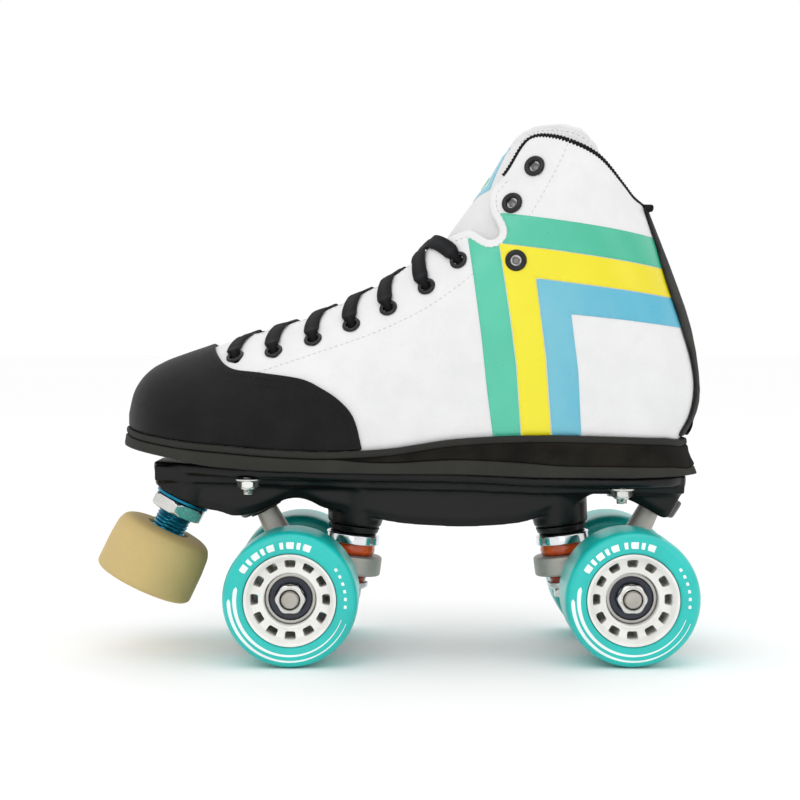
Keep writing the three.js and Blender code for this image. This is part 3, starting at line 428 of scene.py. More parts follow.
class Tree:
    """A geometry node tree with named inputs, every node made by add()."""

    def __init__(self, name, inputs):
        self.group = bpy.data.node_groups.new(name, "GeometryNodeTree")
        self.group.interface.new_socket("Geometry", in_out="INPUT", socket_type="NodeSocketGeometry")
        self.group.interface.new_socket("Geometry", in_out="OUTPUT", socket_type="NodeSocketGeometry")
        for label, kind in inputs.items():
            self.group.interface.new_socket(label, in_out="INPUT", socket_type="NodeSocket" + kind)
        self.entry = self.group.nodes.new("NodeGroupInput")
        self.exit = self.group.nodes.new("NodeGroupOutput")

    def given(self, label):
        return self.entry.outputs[label]

    def add(self, kind, settings=None, inputs=None):
        node = self.group.nodes.new(kind)
        for key, value in (settings or {}).items():
            setattr(node, key, value)
        for key, value in (inputs or {}).items():
            if isinstance(value, bpy.types.NodeSocket):
                self.group.links.new(value, node.inputs[key])
            else:
                node.inputs[key].default_value = value
        return node

    def finish(self, geometry):
        real = self.add("GeometryNodeRealizeInstances", None, {"Geometry": geometry})
        painted = self.add("GeometryNodeSetMaterial", None,
                           {"Geometry": real.outputs[0], "Material": self.given("Material")})
        self.group.links.new(painted.outputs[0], self.exit.inputs[0])
        return self.group

    def on(self, thing, **values):
        """Runs the tree on an object and leaves a plain mesh."""
        modifier = thing.modifiers.new("Tree", "NODES")
        modifier.node_group = self.group
        for item in self.group.interface.items_tree:
            key = item.name.lower().replace(" ", "_")
            if item.in_out == "INPUT" and key in values:
                modifier[item.identifier] = values[key]
        baked(thing)


def guide(name, places, normals, edges=()):
    """Points or edge paths in the frame, with the surface's normal stored on each point."""
    mesh = bpy.data.meshes.new(name)
    mesh.from_pydata(((places + (SHIFT, 0, 0)) * MM).tolist(), edges, [])
    stored = mesh.attributes.new("facing", "FLOAT_VECTOR", "POINT")
    stored.data.foreach_set("vector", normals.astype(np.float32).ravel())
    thing = bpy.data.objects.new(name, mesh)
    bpy.context.scene.collection.objects.link(thing)
    return thing


# ---- finishes --------------------------------------------------------------------------------------

class Value:
    """A shader socket that takes part in Python arithmetic."""

    def __init__(self, finish, socket):
        self.finish = finish
        self.socket = socket

    def math(self, operation, *others):
        values = dict(enumerate((self,) + others))
        return self.finish.add("ShaderNodeMath", {"operation": operation}, values)

    def __add__(self, other):
        return self.math("ADD", other)

    def __radd__(self, other):
        return self.math("ADD", other)

    def __mul__(self, other):
        return self.math("MULTIPLY", other)

    def __rmul__(self, other):
        return self.math("MULTIPLY", other)

    def __sub__(self, other):
        return self.math("SUBTRACT", other)

    def __rsub__(self, other):
        return self.finish.add("ShaderNodeMath", {"operation": "SUBTRACT"}, {0: other, 1: self})

    def between(self, low, high):
        """0 below one value, 1 above the other."""
        return self.finish.add("ShaderNodeMapRange", {"interpolation_type": "SMOOTHSTEP"},
                               {"Value": self, "From Min": low, "From Max": high})


class Finish:
    """One material around a Principled shader; every other node comes from add()."""

    def __init__(self, name, color, roughness, **constants):
        self.material = bpy.data.materials.new(name)
        self.material.use_nodes = True
        self.tree = self.material.node_tree
        self.tree.nodes.clear()
        self.shader = self.tree.nodes.new("ShaderNodeBsdfPrincipled")
        exit_node = self.tree.nodes.new("ShaderNodeOutputMaterial")
        self.tree.links.new(self.shader.outputs[0], exit_node.inputs[0])
        self.shader.inputs["Base Color"].default_value = (*shade(color), 1)
        self.shader.inputs["Roughness"].default_value = roughness
        for label, value in constants.items():
            self.shader.inputs[label.replace("_", " ").title().replace("Ior", "IOR")].default_value = value
        self.material.diffuse_color = (*shade(color), 1)

    def add(self, kind, settings=None, inputs=None, output=0):
        node = self.tree.nodes.new(kind)
        for key, value in (settings or {}).items():
            setattr(node, key, value)
        for key, value in (inputs or {}).items():
            if isinstance(value, Value):
                self.tree.links.new(value.socket, node.inputs[key])
            else:
                node.inputs[key].default_value = value
        return Value(self, node.outputs[output])

    def drive(self, label, value):
        self.tree.links.new(value.socket, self.shader.inputs[label])

    def place(self):
        """Object coordinates in millimetres."""
        spot = self.add("ShaderNodeTexCoord", None, None, "Object")
        return self.add("ShaderNodeVectorMath", {"operation": "SCALE"}, {0: spot, "Scale": 1 / MM})

    def axis(self, vector, index):
        return self.add("ShaderNodeSeparateXYZ", None, {0: vector}, index)

    def noise(self, vector, scale, detail=3.0, roughness=0.55):
        return self.add("ShaderNodeTexNoise", None,
                        {"Vector": vector, "Scale": scale, "Detail": detail, "Roughness": roughness})

    def cells(self, vector, scale):
        """The distance to the edges of random cells."""
        return self.add("ShaderNodeTexVoronoi", {"feature": "DISTANCE_TO_EDGE"},
                        {"Vector": vector, "Scale": scale})

    def blend(self, factor, first, second):
        """A colour mixed between two, each a colour or another mix."""
        node = self.tree.nodes.new("ShaderNodeMix")
        node.data_type = "RGBA"
        self.tree.links.new(factor.socket, node.inputs["Factor"])
        for socket, color in ((node.inputs[6], first), (node.inputs[7], second)):
            if isinstance(color, Value):
                self.tree.links.new(color.socket, socket)
            else:
                socket.default_value = (*shade(color), 1)
        return Value(self, node.outputs[2])

    def relief(self, height, depth_mm):
        """Bump of a height between 0 and 1, its depth in millimetres."""
        bump = self.add("ShaderNodeBump", None,
                        {"Height": height, "Distance": depth_mm * MM, "Strength": 1.0}, "Normal")
        self.drive("Normal", bump)


def linear(code):
    """A hexadecimal sRGB colour as linear light."""
    values = [int(code[k:k + 2], 16) / 255 for k in (0, 2, 4)]
    return tuple(v / 12.92 if v <= 0.04045 else ((v + 0.055) / 1.055) ** 2.4 for v in values)


def shade(color, factor=1.0):
    """A colour or a colour's code, made lighter or darker, as linear light."""
    return tuple(min(1.0, c * factor) for c in (linear(color) if isinstance(color, str) else color))


def grained_leather(name, color, roughness, cell_mm, depth_mm, wear=1.12, **constants):
    """Leather with fine pebbles, faint creases and a slightly uneven dye."""
    finish = Finish(name, color, roughness, **constants)
    spot = finish.place()
    bent = finish.add("ShaderNodeVectorMath", {"operation": "ADD"},
                      {0: spot, 1: finish.noise(spot, 1.2 / cell_mm)})
    pebbles = finish.cells(bent, 1 / cell_mm).between(0.0, 0.22)
    pores = finish.noise(spot, 2.6 / cell_mm, 2.0)
    creases = finish.noise(spot, 0.09, 4.0)
    finish.relief(pebbles * 0.7 + pores * 0.3 + creases * 0.6, depth_mm)
    finish.drive("Roughness", pebbles * -0.08 + creases * 0.14 + (roughness - 0.02))
    tone = (creases * 0.6 + pores * 0.4).between(0.34, 0.68)
    finish.drive("Base Color", finish.blend(tone, shade(color, 2 - wear), shade(color, wear)))
    return finish.material


def glossy_film(name, near, far, roughness=0.3):
    """Coloured film laminated on leather: smooth, a little pearly, deeper towards the heel."""
    finish = Finish(name, near, roughness, coat_weight=0.25, coat_roughness=0.2)
    spot = finish.place()
    back = finish.axis(spot, "X").between(40, 118)
    cloud = finish.noise(spot, 0.045, 2.0).between(0.35, 0.65)
    finish.drive("Base Color", finish.blend(back * 0.75 + cloud * 0.25, near, far))
    weave = finish.cells(spot, 2.2).between(0.0, 0.3)
    finish.relief(weave * 0.5 + finish.noise(spot, 0.5) * 0.5, 0.03)
    finish.drive("Roughness", finish.noise(spot, 0.3) * 0.14 + (roughness - 0.07))
    return finish.material


def woven(name, color, light, pitch_mm, depth_mm, roughness=0.9, axes=("X", "Y"), uv=False):
    """Cloth: two crossing sets of threads with a little fluff."""
    finish = Finish(name, color, roughness, sheen_weight=0.06, sheen_roughness=0.5, specular_ior_level=0.15)
    spot = finish.place()
    if uv:
        flat = finish.add("ShaderNodeVectorMath", {"operation": "SCALE"},
                          {0: finish.add("ShaderNodeUVMap", None, None), "Scale": 1 / MM})
    else:
        flat = spot
    first, second = (finish.axis(flat, axis) * (2 * math.pi / pitch_mm) for axis in axes)
    warp, weft = (first + second).math("SINE"), (first - second).math("SINE")
    threads = (warp * weft) * 0.5 + 0.5
    fluff = finish.noise(spot, 2.5, 4.0)
    finish.relief(threads * 0.75 + fluff * 0.5, depth_mm)
    finish.drive("Base Color", finish.blend((threads * 0.6 + fluff * 0.5).between(0.2, 0.95), color, light))
    finish.drive("Roughness", fluff * 0.15 + (roughness - 0.1))
    return finish.material


def speckled_rubber(name, color, light, roughness, speck_mm, amount, depth_mm=0.12, lines_mm=0.0,
                    **constants):
    """Moulded or cut rubber with fine specks, and tool lines along its edge where it was skived."""
    finish = Finish(name, color, roughness, **constants)
    spot = finish.place()
    specks = finish.noise(spot, 1 / speck_mm, 3.0, 0.7).between(1 - amount, 1 - amount + 0.12)
    dust = finish.noise(spot, 0.05, 3.0).between(0.3, 0.7)
    height = finish.noise(spot, 0.7 / speck_mm, 4.0, 0.65) * 0.8
    if lines_mm:
        height = height + (finish.axis(spot, "Z") * (2 * math.pi / lines_mm)).math("SINE") * 0.12
    finish.relief(height, depth_mm)
    finish.drive("Base Color", finish.blend(specks * 0.55 + dust * 0.35, color, light))
    finish.drive("Roughness", dust * 0.12 + (roughness - 0.06))
    return finish.material


def moulded_plastic(name, color, roughness, texture_mm=0.35, depth_mm=0.03, **constants):
    """Moulded plastic or urethane with a faint flow and fine surface texture."""
    finish = Finish(name, color, roughness, **constants)
    spot = finish.place()
    fine = finish.noise(spot, 1 / texture_mm, 3.0, 0.6)
    flow = finish.noise(spot, 0.06, 3.0)
    finish.relief(fine * 0.6 + flow, depth_mm)
    tone = (flow * 0.7 + fine * 0.3).between(0.35, 0.65)
    finish.drive("Base Color", finish.blend(tone, shade(color, 0.93), shade(color, 1.06)))
    finish.drive("Roughness", flow * 0.12 + fine * 0.08 + (roughness - 0.1))
    return finish.material


def worn_metal(name, color, roughness, grain_mm=0.3, depth_mm=0.04, stain=0.75, metallic=1.0, **constants):
    """Cast, plated or machined metal with fine grain, dull patches and darker stains."""
    finish = Finish(name, color, roughness, metallic=metallic, **constants)
    spot = finish.place()
    grain = finish.noise(spot, 1 / grain_mm, 4.0, 0.65)
    patches = finish.noise(spot, 0.12, 4.0, 0.6)
    finish.relief(grain, depth_mm)
    tone = (patches * 0.6 + grain * 0.4).between(0.32, 0.62)
    finish.drive("Base Color", finish.blend(tone, shade(color, stain), color))
    finish.drive("Roughness", patches * 0.2 + grain * 0.12 + (roughness - 0.16))
    return finish.material


def finishes(colors):
    """Every finish of the skate, by name."""
    return {
        "white": grained_leather("white_leather", colors.leather, 0.46, 0.9, 0.035, 1.03, specular_ior_level=0.35),
        "black": grained_leather("black_leather", "141414", 0.5, 0.75, 0.13, 1.4, specular_ior_level=0.16),
        "tongue": grained_leather("tongue_leather", shade(colors.leather, 0.96), 0.5, 1.0, 0.06, 1.03,
                                  specular_ior_level=0.35),
        "binding": grained_leather("back_strip_leather", "2b2a27", 0.7, 0.9, 0.2, 1.7,
                                   specular_ior_level=0.2),
        "mint": glossy_film("mint_film", "4ebfa0", colors.mint),
        "yellow": glossy_film("yellow_film", "e9de14", colors.yellow),
        "blue": glossy_film("blue_film", "74bbcb", colors.blue),
        "lining": woven("lining_cloth", "d2d1cc", "ecebe7", 0.9, 0.12),
        "lace": woven("lace_weave", "050506", "202124", 1.5, 0.22, 0.9, uv=True),
        "cord": woven("binding_cord", "060606", "1c1c1c", 0.8, 0.12, 0.9),
        "thread": woven("grey_thread", "b9b7b1", "d8d6d0", 0.35, 0.03, 0.7),
        "black_thread": woven("black_thread", "080808", "232323", 0.35, 0.03, 0.6),
        "welt": speckled_rubber("welt_rubber", "272725", "3b3a36", 0.8, 0.5, 0.42, lines_mm=0.7,
                                specular_ior_level=0.2),
        "wedge": speckled_rubber("wedge_foam", "100f0e", "38342b", 0.95, 0.35, 0.42, 0.2,
                                 specular_ior_level=0.15),
        "outsole": speckled_rubber("outsole_rubber", "2a2a27", "3f3e39", 0.82, 0.5, 0.42, lines_mm=0.8,
                                   specular_ior_level=0.2),
        "nylon": moulded_plastic("black_nylon", "090909", 0.34, 0.5, 0.03, specular_ior_level=0.28),
        "urethane": moulded_plastic("turquoise_urethane", colors.wheel, 0.34, 0.6, 0.03,
                                    coat_weight=0.2, coat_roughness=0.3),
        "print": moulded_plastic("white_print", "eaf4f3", 0.45, 0.3, 0.01),
        "hub": moulded_plastic("hub_plastic", "e9e8e4", 0.42, 0.4, 0.03),
        "shield": moulded_plastic("bearing_shield", "131a2e", 0.38, 0.25, 0.03, coat_weight=0.2),
        "steel": worn_metal("bearing_steel", "b5b3ae", 0.28, 0.25, 0.01, 0.8),
        "cast": worn_metal("cast_metal", "b3b0aa", 0.5, 0.45, 0.09, 0.82, 0.75),
        "zinc": worn_metal("zinc_plate", "dcdbd8", 0.26, 0.5, 0.03, 0.8),
        "chrome": worn_metal("chrome_plate", "dcdee0", 0.12, 0.8, 0.008, 0.94),
        "axle": worn_metal("axle_steel", "b7b3ab", 0.42, 0.3, 0.05, 0.8),
        "enamel": moulded_plastic("black_enamel", "070708", 0.25, 0.5, 0.01, specular_ior_level=0.4),
        "stem": worn_metal("anodised_stem", colors.stem, 0.28, 0.4, 0.02, 0.7, 0.85, coat_weight=0.2),
        "stop": speckled_rubber("stop_rubber", shade(colors.stop, 0.93), shade(colors.stop, 1.07),
                                0.68, 0.4, 0.5, 0.1),
        "cup": moulded_plastic("cup_plastic", "0b0b0b", 0.5, 0.4, 0.03, specular_ior_level=0.2),
        "cushion": moulded_plastic("amber_urethane", "f0600c", 0.16, 0.8, 0.02, coat_weight=0.4,
                                   transmission_weight=0.45, ior=1.45),
        "lower_cushion": moulded_plastic("red_urethane", "b3310b", 0.2, 0.8, 0.02, coat_weight=0.4,
                                         transmission_weight=0.35, ior=1.45),
        # near-black painted shade: a disc that fills the laced eyelets' holes in place of the dark inside them
        "painted_hole_shade": moulded_plastic("eyelet_backing", "050505", 0.6, 0.4, 0.01),
        "backing": worn_metal("eyelet_metal", "8d8d8b", 0.45, 0.3, 0.02, 0.8),
    }


# ---- the boot's form -------------------------------------------------------------------------------
# Two lines seen from the side, walked together from the toe to the collar: under the foot and up the
# heel, and over the toe and up the instep. The half width follows from how near a point is to them.

SOLE_AND_HEEL = [
    (-122.6, 102.6), (-120.4, 101.5), (-115, 100.4), (-106, 99), (-94, 97.4), (-80, 96.1), (-57, 94.2),
    (-32, 93.2), (-5, 94.4), (25, 98.4), (60, 99.9), (95, 99.3), (117, 98.3), (128.4, 97.7),
    (133.8, 108), (135.4, 121), (131.5, 146), (122.5, 172), (111.5, 200), (106, 216),
]
HEEL_CORNER = 13
TOE_AND_INSTEP = [
    (-122.8, 107.5), (-120.2, 117.8), (-114.8, 125.3), (-107, 130.2), (-96.4, 134.2), (-84.6, 138.2),
    (-66, 145), (-45, 151.5), (-22, 161.5), (-4, 171.5), (12, 185), (20, 195.5), (26, 203.5),
    (29.5, 208), (33, 213), (37, 219), (43, 228), (49.5, 237), (57, 246.5), (62, 253),
]
BOOT_SECTIONS = len(SOLE_AND_HEEL) - 1
HEEL_HALF_WIDTH, BALL_HALF_WIDTH, SHAFT_HALF_WIDTH = 33, 45.5, 37
WAIST_FROM_X, WAIST_TO_X = 45, -62
TOE_ROUNDING, SHAFT_ROUNDING, HEEL_ROUNDING = 34, 41, 33
TOE_SWING = 5


def last_middle(x):
    """The toe's middle swings towards the inner side."""
    return TOE_SWING * smooth(np.asarray(x, float), -10, -120)


def soft_distance(line, x, z):
    total = np.zeros(np.shape(x))
    for (ax, az), (bx, bz) in zip(line[:-1], line[1:]):
        length = math.hypot(bx - ax, bz - az)
        run_x, run_z = (bx - ax) / length, (bz - az) / length
        start = (ax - x) * run_x + (az - z) * run_z
        off = np.maximum(np.abs((ax - x) * run_z - (az - z) * run_x), 0.02)
        total += ((start + length) / (2 * off**2 * (off**2 + (start + length) ** 2))
                  + np.arctan((start + length) / off) / (2 * off**3)
                  - start / (2 * off**2 * (off**2 + start**2)) - np.arctan(start / off) / (2 * off**3))
    return np.cbrt(math.pi / 2 / total)


def rounding(share):
    return np.sqrt(np.maximum(0, 1 - (1 - np.minimum(share, 1)) ** 2))


class Form:
    """The boot's outside grown by an offset, in millimetres."""

    def __init__(self, offset):
        self.offset = offset
        self.under = beside(SOLE_AND_HEEL, -offset)
        self.over = beside(TOE_AND_INSTEP, offset)
        heel = self.under[HEEL_CORNER:]
        front = spline(self.over, np.concatenate([np.linspace(0, 0.12, 25), np.linspace(0.145, 1, 34)]))
        back = spline(heel, np.linspace(0, 1, 17))
        self.front = [(self.over[0][0], 40), *map(tuple, front), (78, 285)]
        self.back = [(heel[0][0], 40), *map(tuple, back), (94, 250)]

    def half_width(self, x, z):
        x, z = np.asarray(x, float), np.asarray(z, float)
        low = BALL_HALF_WIDTH + (HEEL_HALF_WIDTH - BALL_HALF_WIDTH) * smooth(x, WAIST_TO_X, WAIST_FROM_X)
        plateau = low + (SHAFT_HALF_WIDTH - low) * smooth(z, 100, 165) + self.offset
        front_round = TOE_ROUNDING + (SHAFT_ROUNDING - TOE_ROUNDING) * smooth(x, -60, 20) + self.offset
        return (plateau * rounding(soft_distance(self.front, x, z) / front_round)
                * rounding(soft_distance(self.back, x, z) / (HEEL_ROUNDING + self.offset)))

    def side_view(self, along, up):
        """Side-view places; along runs from toe to collar, up from the sole to the instep."""
        along, up = np.broadcast_arrays(np.asarray(along, float), np.asarray(up, float))
        low, high = spline(self.under, along.ravel()), spline(self.over, along.ravel())
        return (low + (high - low) * up.reshape(-1, 1)).reshape(*along.shape, 2)

    def on_side(self, line, side):
        """A side-view line laid on one side of the boot."""
        line = np.asarray(line, float)
        half = self.half_width(line[:, 0], line[:, 1])
        return np.stack([line[:, 0], last_middle(line[:, 0]) + side * half, line[:, 1]], axis=1)

    def normal(self, points, side):
        """Outward normals at points of one side."""
        x, z, step = points[:, 0], points[:, 2], 0.4
        slope_x = (self.half_width(x + step, z) - self.half_width(x - step, z)) / (2 * step)
        slope_x += side * (last_middle(x + step) - last_middle(x - step)) / (2 * step)
        slope_z = (self.half_width(x, z + step) - self.half_width(x, z - step)) / (2 * step)
        normal = np.stack([-slope_x, np.full(len(x), float(side)), -slope_z], axis=1)
        return unit(normal)


def form_sheet(offset, columns=330, rows=46):
    """The form's skin from the sole on one side, over the instep, to the sole on the other."""
    form = Form(offset)
    corner = HEEL_CORNER / BOOT_SECTIONS
    steps = np.linspace(0, 1, columns)
    along = np.unique(np.concatenate([
        0.12 * np.linspace(0, 1, 34) ** 2, steps[steps > 0.12],
        corner + 0.06 * np.linspace(-1, 1, 61) * np.abs(np.linspace(-1, 1, 61)),
    ]).round(6))
    row = np.linspace(0, 1, rows + 1)
    behind = smooth(along, 0.5, corner)[:, None]
    up = np.sin(row * math.pi / 2) * (1 - behind) + (1 - np.cos(row * math.pi)) / 2 * behind
    place = form.side_view(along[:, None] + 0 * up, up)
    half = form.half_width(place[..., 0], place[..., 1])
    half[:, -1] = 0
    half[0] = 0
    half[along > corner, 0] = 0
    middle_y = last_middle(place[..., 0])
    near = np.stack([place[..., 0], middle_y - half, place[..., 1]], axis=-1)
    far = np.stack([place[..., 0], middle_y + half, place[..., 1]], axis=-1)[:, -2::-1]
    points = np.concatenate([near, far], axis=1)
    count, wide = points.shape[:2]
    points = points.reshape(-1, 3)
    faces = grid_faces(count, wide)
    normals = vertex_normals(points, faces)
    core = [np.clip(points[:, 0], -95, 80), last_middle(points[:, 0]), np.clip(points[:, 2], 112, 190)]
    core = np.stack(core, axis=1)
    inward = ((points - core) * normals).sum(axis=1) < 0
    normals = np.where(inward[:, None], -normals, normals).reshape(count, wide, 3)
    # both sides meet along the back of the heel and down the tip of the toe
    meeting = [(k, 0) for k in np.flatnonzero(along > corner)] + [(0, j) for j in range(rows)]
    welded = {}
    for k, j in meeting:
        seam = normals[k, j] + normals[k, wide - 1 - j]
        normals[k, j] = normals[k, wide - 1 - j] = seam / np.linalg.norm(seam)
        welded[int(k * wide + wide - 1 - j)] = int(k * wide + j)
    sheet = np.concatenate([points, normals.reshape(-1, 3)], axis=1)
    faces = [tuple(welded.get(v, v) for v in face) for face in faces]
    return tidy((sheet, faces))


COLLAR_FRONT = [
    (-2, 200), (12, 184.2), (21, 186.8), (29.4, 189.6), (33.4, 188), (38, 185), (42.3, 185.5), (44.6, 189),
    (43.2, 193.5), (40.4, 199.5), (41, 207.5), (48, 216.3), (54.9, 227.6), (59.6, 231.2), (66, 231.1),
    (74.3, 228.7), (87.7, 222), (99, 210), (105, 203.8), (114, 200.4), (150, 199),
]
COLLAR_LINE = np.concatenate([[COLLAR_FRONT[0]], rounded_line(COLLAR_FRONT[1:-1], 1.2), [COLLAR_FRONT[-1]]])
COLLAR_CUT = np.concatenate([COLLAR_LINE, [(150, 300), (-2, 300)]])
THROAT = [(46, -14), (46, 14), (-60, 8)] + [
    (-60 - 8 * math.sin(a), 8 * math.cos(a)) for a in np.linspace(0, math.pi, 17)[1:-1]] + [(-60, -8)]
TOE_CAP_REAR = [
    (-17.3, 93.9), (-20.6, 106.8), (-26.4, 114.3), (-34.8, 120.1), (-43.9, 124.3), (-62.5, 127.1),
    (-72.9, 128.3), (-78.3, 130.7), (-82.4, 134.9), (-85.4, 139.5),
]
TOE_CAP_LINE = rounded_line(TOE_CAP_REAR, 1.0)
TOE_CAP = np.concatenate([[(-17.3, 60)], TOE_CAP_LINE, [(-86, 170), (-160, 170), (-160, 60)]])
BACK_STRIP_EDGE = [
    (127.4, 98.6), (132, 107.7), (134, 121), (132, 133), (127.4, 146.5), (120.2, 167.5), (115.5, 186.4),
    (111.5, 200.6),
]
BACK_STRIP = np.concatenate([[(127.4, 60)], rounded_line(BACK_STRIP_EDGE, 1.0),
                             [(109, 240), (170, 240), (170, 60)]])
STRIP_FOOT = 98.3
STRIPES = {
    "mint": [(30.1, 186.4), (28, 200), (40.2, 198), (58, 195.6), (77, 192.9), (96, 190), (113.8, 187.2),
             (130, 184), (134, 170.6), (119, 173.4), (96, 177), (70, 180.9), (43.0, 184.4), (48.0, 151.6),
             (50.9, 130), (53.1, 99.3), (53.1, 70), (41.1, 70), (41.1, 99.3), (38.4, 120), (36, 142.1)],
    "yellow": [(43.7, 183.8), (70, 180.3), (96, 176.4), (119, 172.8), (134, 170), (137, 157.4), (122.5, 160.4),
               (100, 163.6), (80, 166.3), (59.2, 168.9), (63.7, 134.4), (66.5, 99.7), (66.5, 70), (53.7, 70),
               (53.7, 99.3), (51.6, 130), (48.7, 151.6)],
    "blue": [(59.8, 168.3), (80, 165.7), (100, 163), (122.5, 159.8), (137, 156.8), (142, 144), (127.4, 146.9),
             (100, 150.3), (74.9, 153), (78.3, 127.8), (79.9, 99.7), (79.9, 70), (67.2, 70), (67.2, 99.7),
             (64.4, 134.4)],
}
FACING_STITCH = [
    (-61.8, 127.6), (-24.2, 140.1), (-8.8, 145.8), (8.8, 154.2), (19.9, 161.3), (32.2, 170.8),
    (52.3, 189.9), (66.1, 211.9), (74.4, 229.2),
]
LACED_EYELETS = [
    (-73.6, 134.2), (-56.1, 136.6), (-38.6, 141.9), (-21.6, 148.3), (-5.2, 155.7), (11.7, 165.2),
    (25.8, 176.8),
]
OPEN_EYELETS = [(50.8, 176.4), (49.3, 201.8), (59.2, 218)]
LEATHER = 2.4
OVERLAY_LIFT = 0.3
OVERLAY = 1.4


def seen(axes, outline, keep_inside=True, margin=0.0):
    """A field over a view's two axes: how deep a point lies inside an outline, or outside it."""
    sign = 1 if keep_inside else -1
    return lambda points: sign * depth_inside(outline, points[:, axes]) - margin


seen_from_side = partial(seen, [0, 2])
seen_from_above = partial(seen, [0, 1])
seen_from_front = partial(seen, [1, 2])


def boot_panel(offset, *fields, columns=330, rows=46):
    sheet = form_sheet(offset, columns, rows)
    for field in fields:
        sheet = keep_where(sheet, field)
    return sheet


# ---- sole layers -----------------------------------------------------------------------------------

OUTSOLE_UNDERSIDE = [
    (-127, 93.9), (-105, 90.6), (-85, 86.6), (-64, 84.8), (-30, 83.6), (0, 82.8), (27, 82.4),
    (60, 80.9), (98, 80.6), (136, 80.8),
]
WEDGE_DEPTH = [(-27, 0.0), (-9, 2.2), (27, 5.8), (71, 10), (136, 9)]
WEDGE_START_X = -27
HEEL_FLARE_FROM = 100
WELT_THICKNESS, WELT_GAP, WELT_MARGIN, OUTSOLE_MARGIN = 3.0, 0.5, 2.2, 2.8
FEATHER = spline(SOLE_AND_HEEL, np.linspace(0, HEEL_CORNER / BOOT_SECTIONS, 200))


def feather(x):
    return np.interp(x, FEATHER[:, 0], FEATHER[:, 1])


def soft_interp(points, x, reach=5.0):
    """A line through points with its corners softened."""
    xs, heights = np.array(points).T
    return sum(np.interp(np.asarray(x) + step * reach, xs, heights) for step in (-1, -0.5, 0, 0.5, 1)) / 5


def welt_top(x):
    return feather(x) - WELT_GAP


def welt_under(x):
    return welt_top(x) - WELT_THICKNESS


def wedge_under(x):
    return welt_under(x) - 0.3 - np.maximum(soft_interp(WEDGE_DEPTH, x), 0)


def outsole_top(x):
    return wedge_under(x) - 0.3 * smooth(x, WEDGE_START_X, WEDGE_START_X + 8)


def outsole_under(x):
    return soft_interp(OUTSOLE_UNDERSIDE, x)


def stations(start, end, count):
    return start + (end - start) * (1 - np.cos(np.linspace(0, math.pi, count))) / 2


def strip_faces(base, wide):
    """Closes a ring of points that runs out along one side and back along the other."""
    return [(base + k, base + k + 1, base + wide - 2 - k, base + wide - 1 - k) for k in range(wide // 2 - 1)]


def sole_layer(top, under, rim, start=None, flare=(0, 0), count=150):
    """A layer with the boot's outline. The rim lists (share of height from the top, margin), start is a
    blunt front end, and flare draws the heel out backwards at the top and at the underside."""
    rings = []
    for share, margin in rim:
        form = Form(margin)
        xs = stations(form.front[0][0] if start is None else start, form.back[0][0], count)
        half = np.maximum(form.half_width(xs, feather(xs)), 0.3)
        height = top(xs) + (under(xs) - top(xs)) * share
        drawn = xs + (flare[0] + (flare[1] - flare[0]) * share) * smooth(xs, HEEL_FLARE_FROM, xs[-1])
        near = np.stack([drawn, last_middle(xs) - half, height], axis=1)
        far = np.stack([drawn, last_middle(xs) + half, height], axis=1)[::-1]
        rings.append(np.concatenate([near, far]))
    wide = 2 * count
    points = np.concatenate(rings)
    faces = grid_faces(len(rings), wide, close_columns=True)
    for ring in (0, len(rings) - 1):
        base = ring * wide
        faces += strip_faces(base, wide)
    return points, faces


# ---- laying things on a surface --------------------------------------------------------------------

class Skin:
    """A sheet that other pieces are laid on."""

    def __init__(self, points, faces):
        self.points = np.asarray(points, float)[:, :3]
        self.faces = faces
        self.normals = vertex_normals(self.points, faces)
        self.tree = BVHTree.FromPolygons(self.points.tolist(), faces)

    def lay(self, points, lift=0.0):
        """The nearest places on the skin, raised by a lift, and the normals there."""
        places, normals = [], []
        for point in points:
            place, _, face, _ = self.tree.find_nearest(Vector(point))
            corners = list(self.faces[face])
            weight = 1 / (np.linalg.norm(self.points[corners] - np.array(place), axis=1) + 0.05)
            normal = (self.normals[corners] * weight[:, None]).sum(axis=0)
            places.append(place)
            normals.append(normal / np.linalg.norm(normal))
        normals = np.array(normals)
        return np.array(places) + np.reshape(lift, (-1, 1)) * normals, normals


SKINS = {}


def skin(offset):
    if offset not in SKINS:
        SKINS[offset] = Skin(*form_sheet(offset, 200, 30))
    return SKINS[offset]


def both_sides(line, offset, spacing=1.5):
    """A side-view line laid on both sides of the boot: places and normals of each."""
    line = evenly(line, spacing)
    form = Form(offset)
    return [skin(offset).lay(form.on_side(line, side)) for side in (-1, 1)]


def stitch_tree():
    tree = Tree("Stitches", {"Spacing": "Float", "Length": "Float", "Thickness": "Float", "Material": "Material"})
    curve = tree.add("GeometryNodeMeshToCurve", None, {0: tree.given("Geometry")})
    spaced = tree.add("GeometryNodeResampleCurve", {"mode": "LENGTH"},
                      {"Curve": curve.outputs[0], "Length": tree.given("Spacing")})
    along = tree.add("FunctionNodeAlignRotationToVector", {"axis": "X"},
                     {"Vector": tree.add("GeometryNodeInputTangent").outputs[0]})
    facing = tree.add("GeometryNodeInputNamedAttribute", {"data_type": "FLOAT_VECTOR"}, {"Name": "facing"})
    turn = tree.add("FunctionNodeAlignRotationToVector", {"axis": "Z", "pivot_axis": "X"},
                    {"Rotation": along.outputs[0], "Vector": facing.outputs[0]})
    bead = tree.add("GeometryNodeMeshUVSphere", None, {"Segments": 8, "Rings": 5, "Radius": 0.5})
    size = tree.add("ShaderNodeCombineXYZ", None, {"X": tree.given("Length"), "Y": tree.given("Thickness"),
                                                   "Z": tree.given("Thickness")})
    placed = tree.add("GeometryNodeInstanceOnPoints", None,
                      {"Points": spaced.outputs[0], "Instance": bead.outputs[0], "Rotation": turn.outputs[0],
                       "Scale": size.outputs[0]})
    return tree, placed.outputs["Instances"]


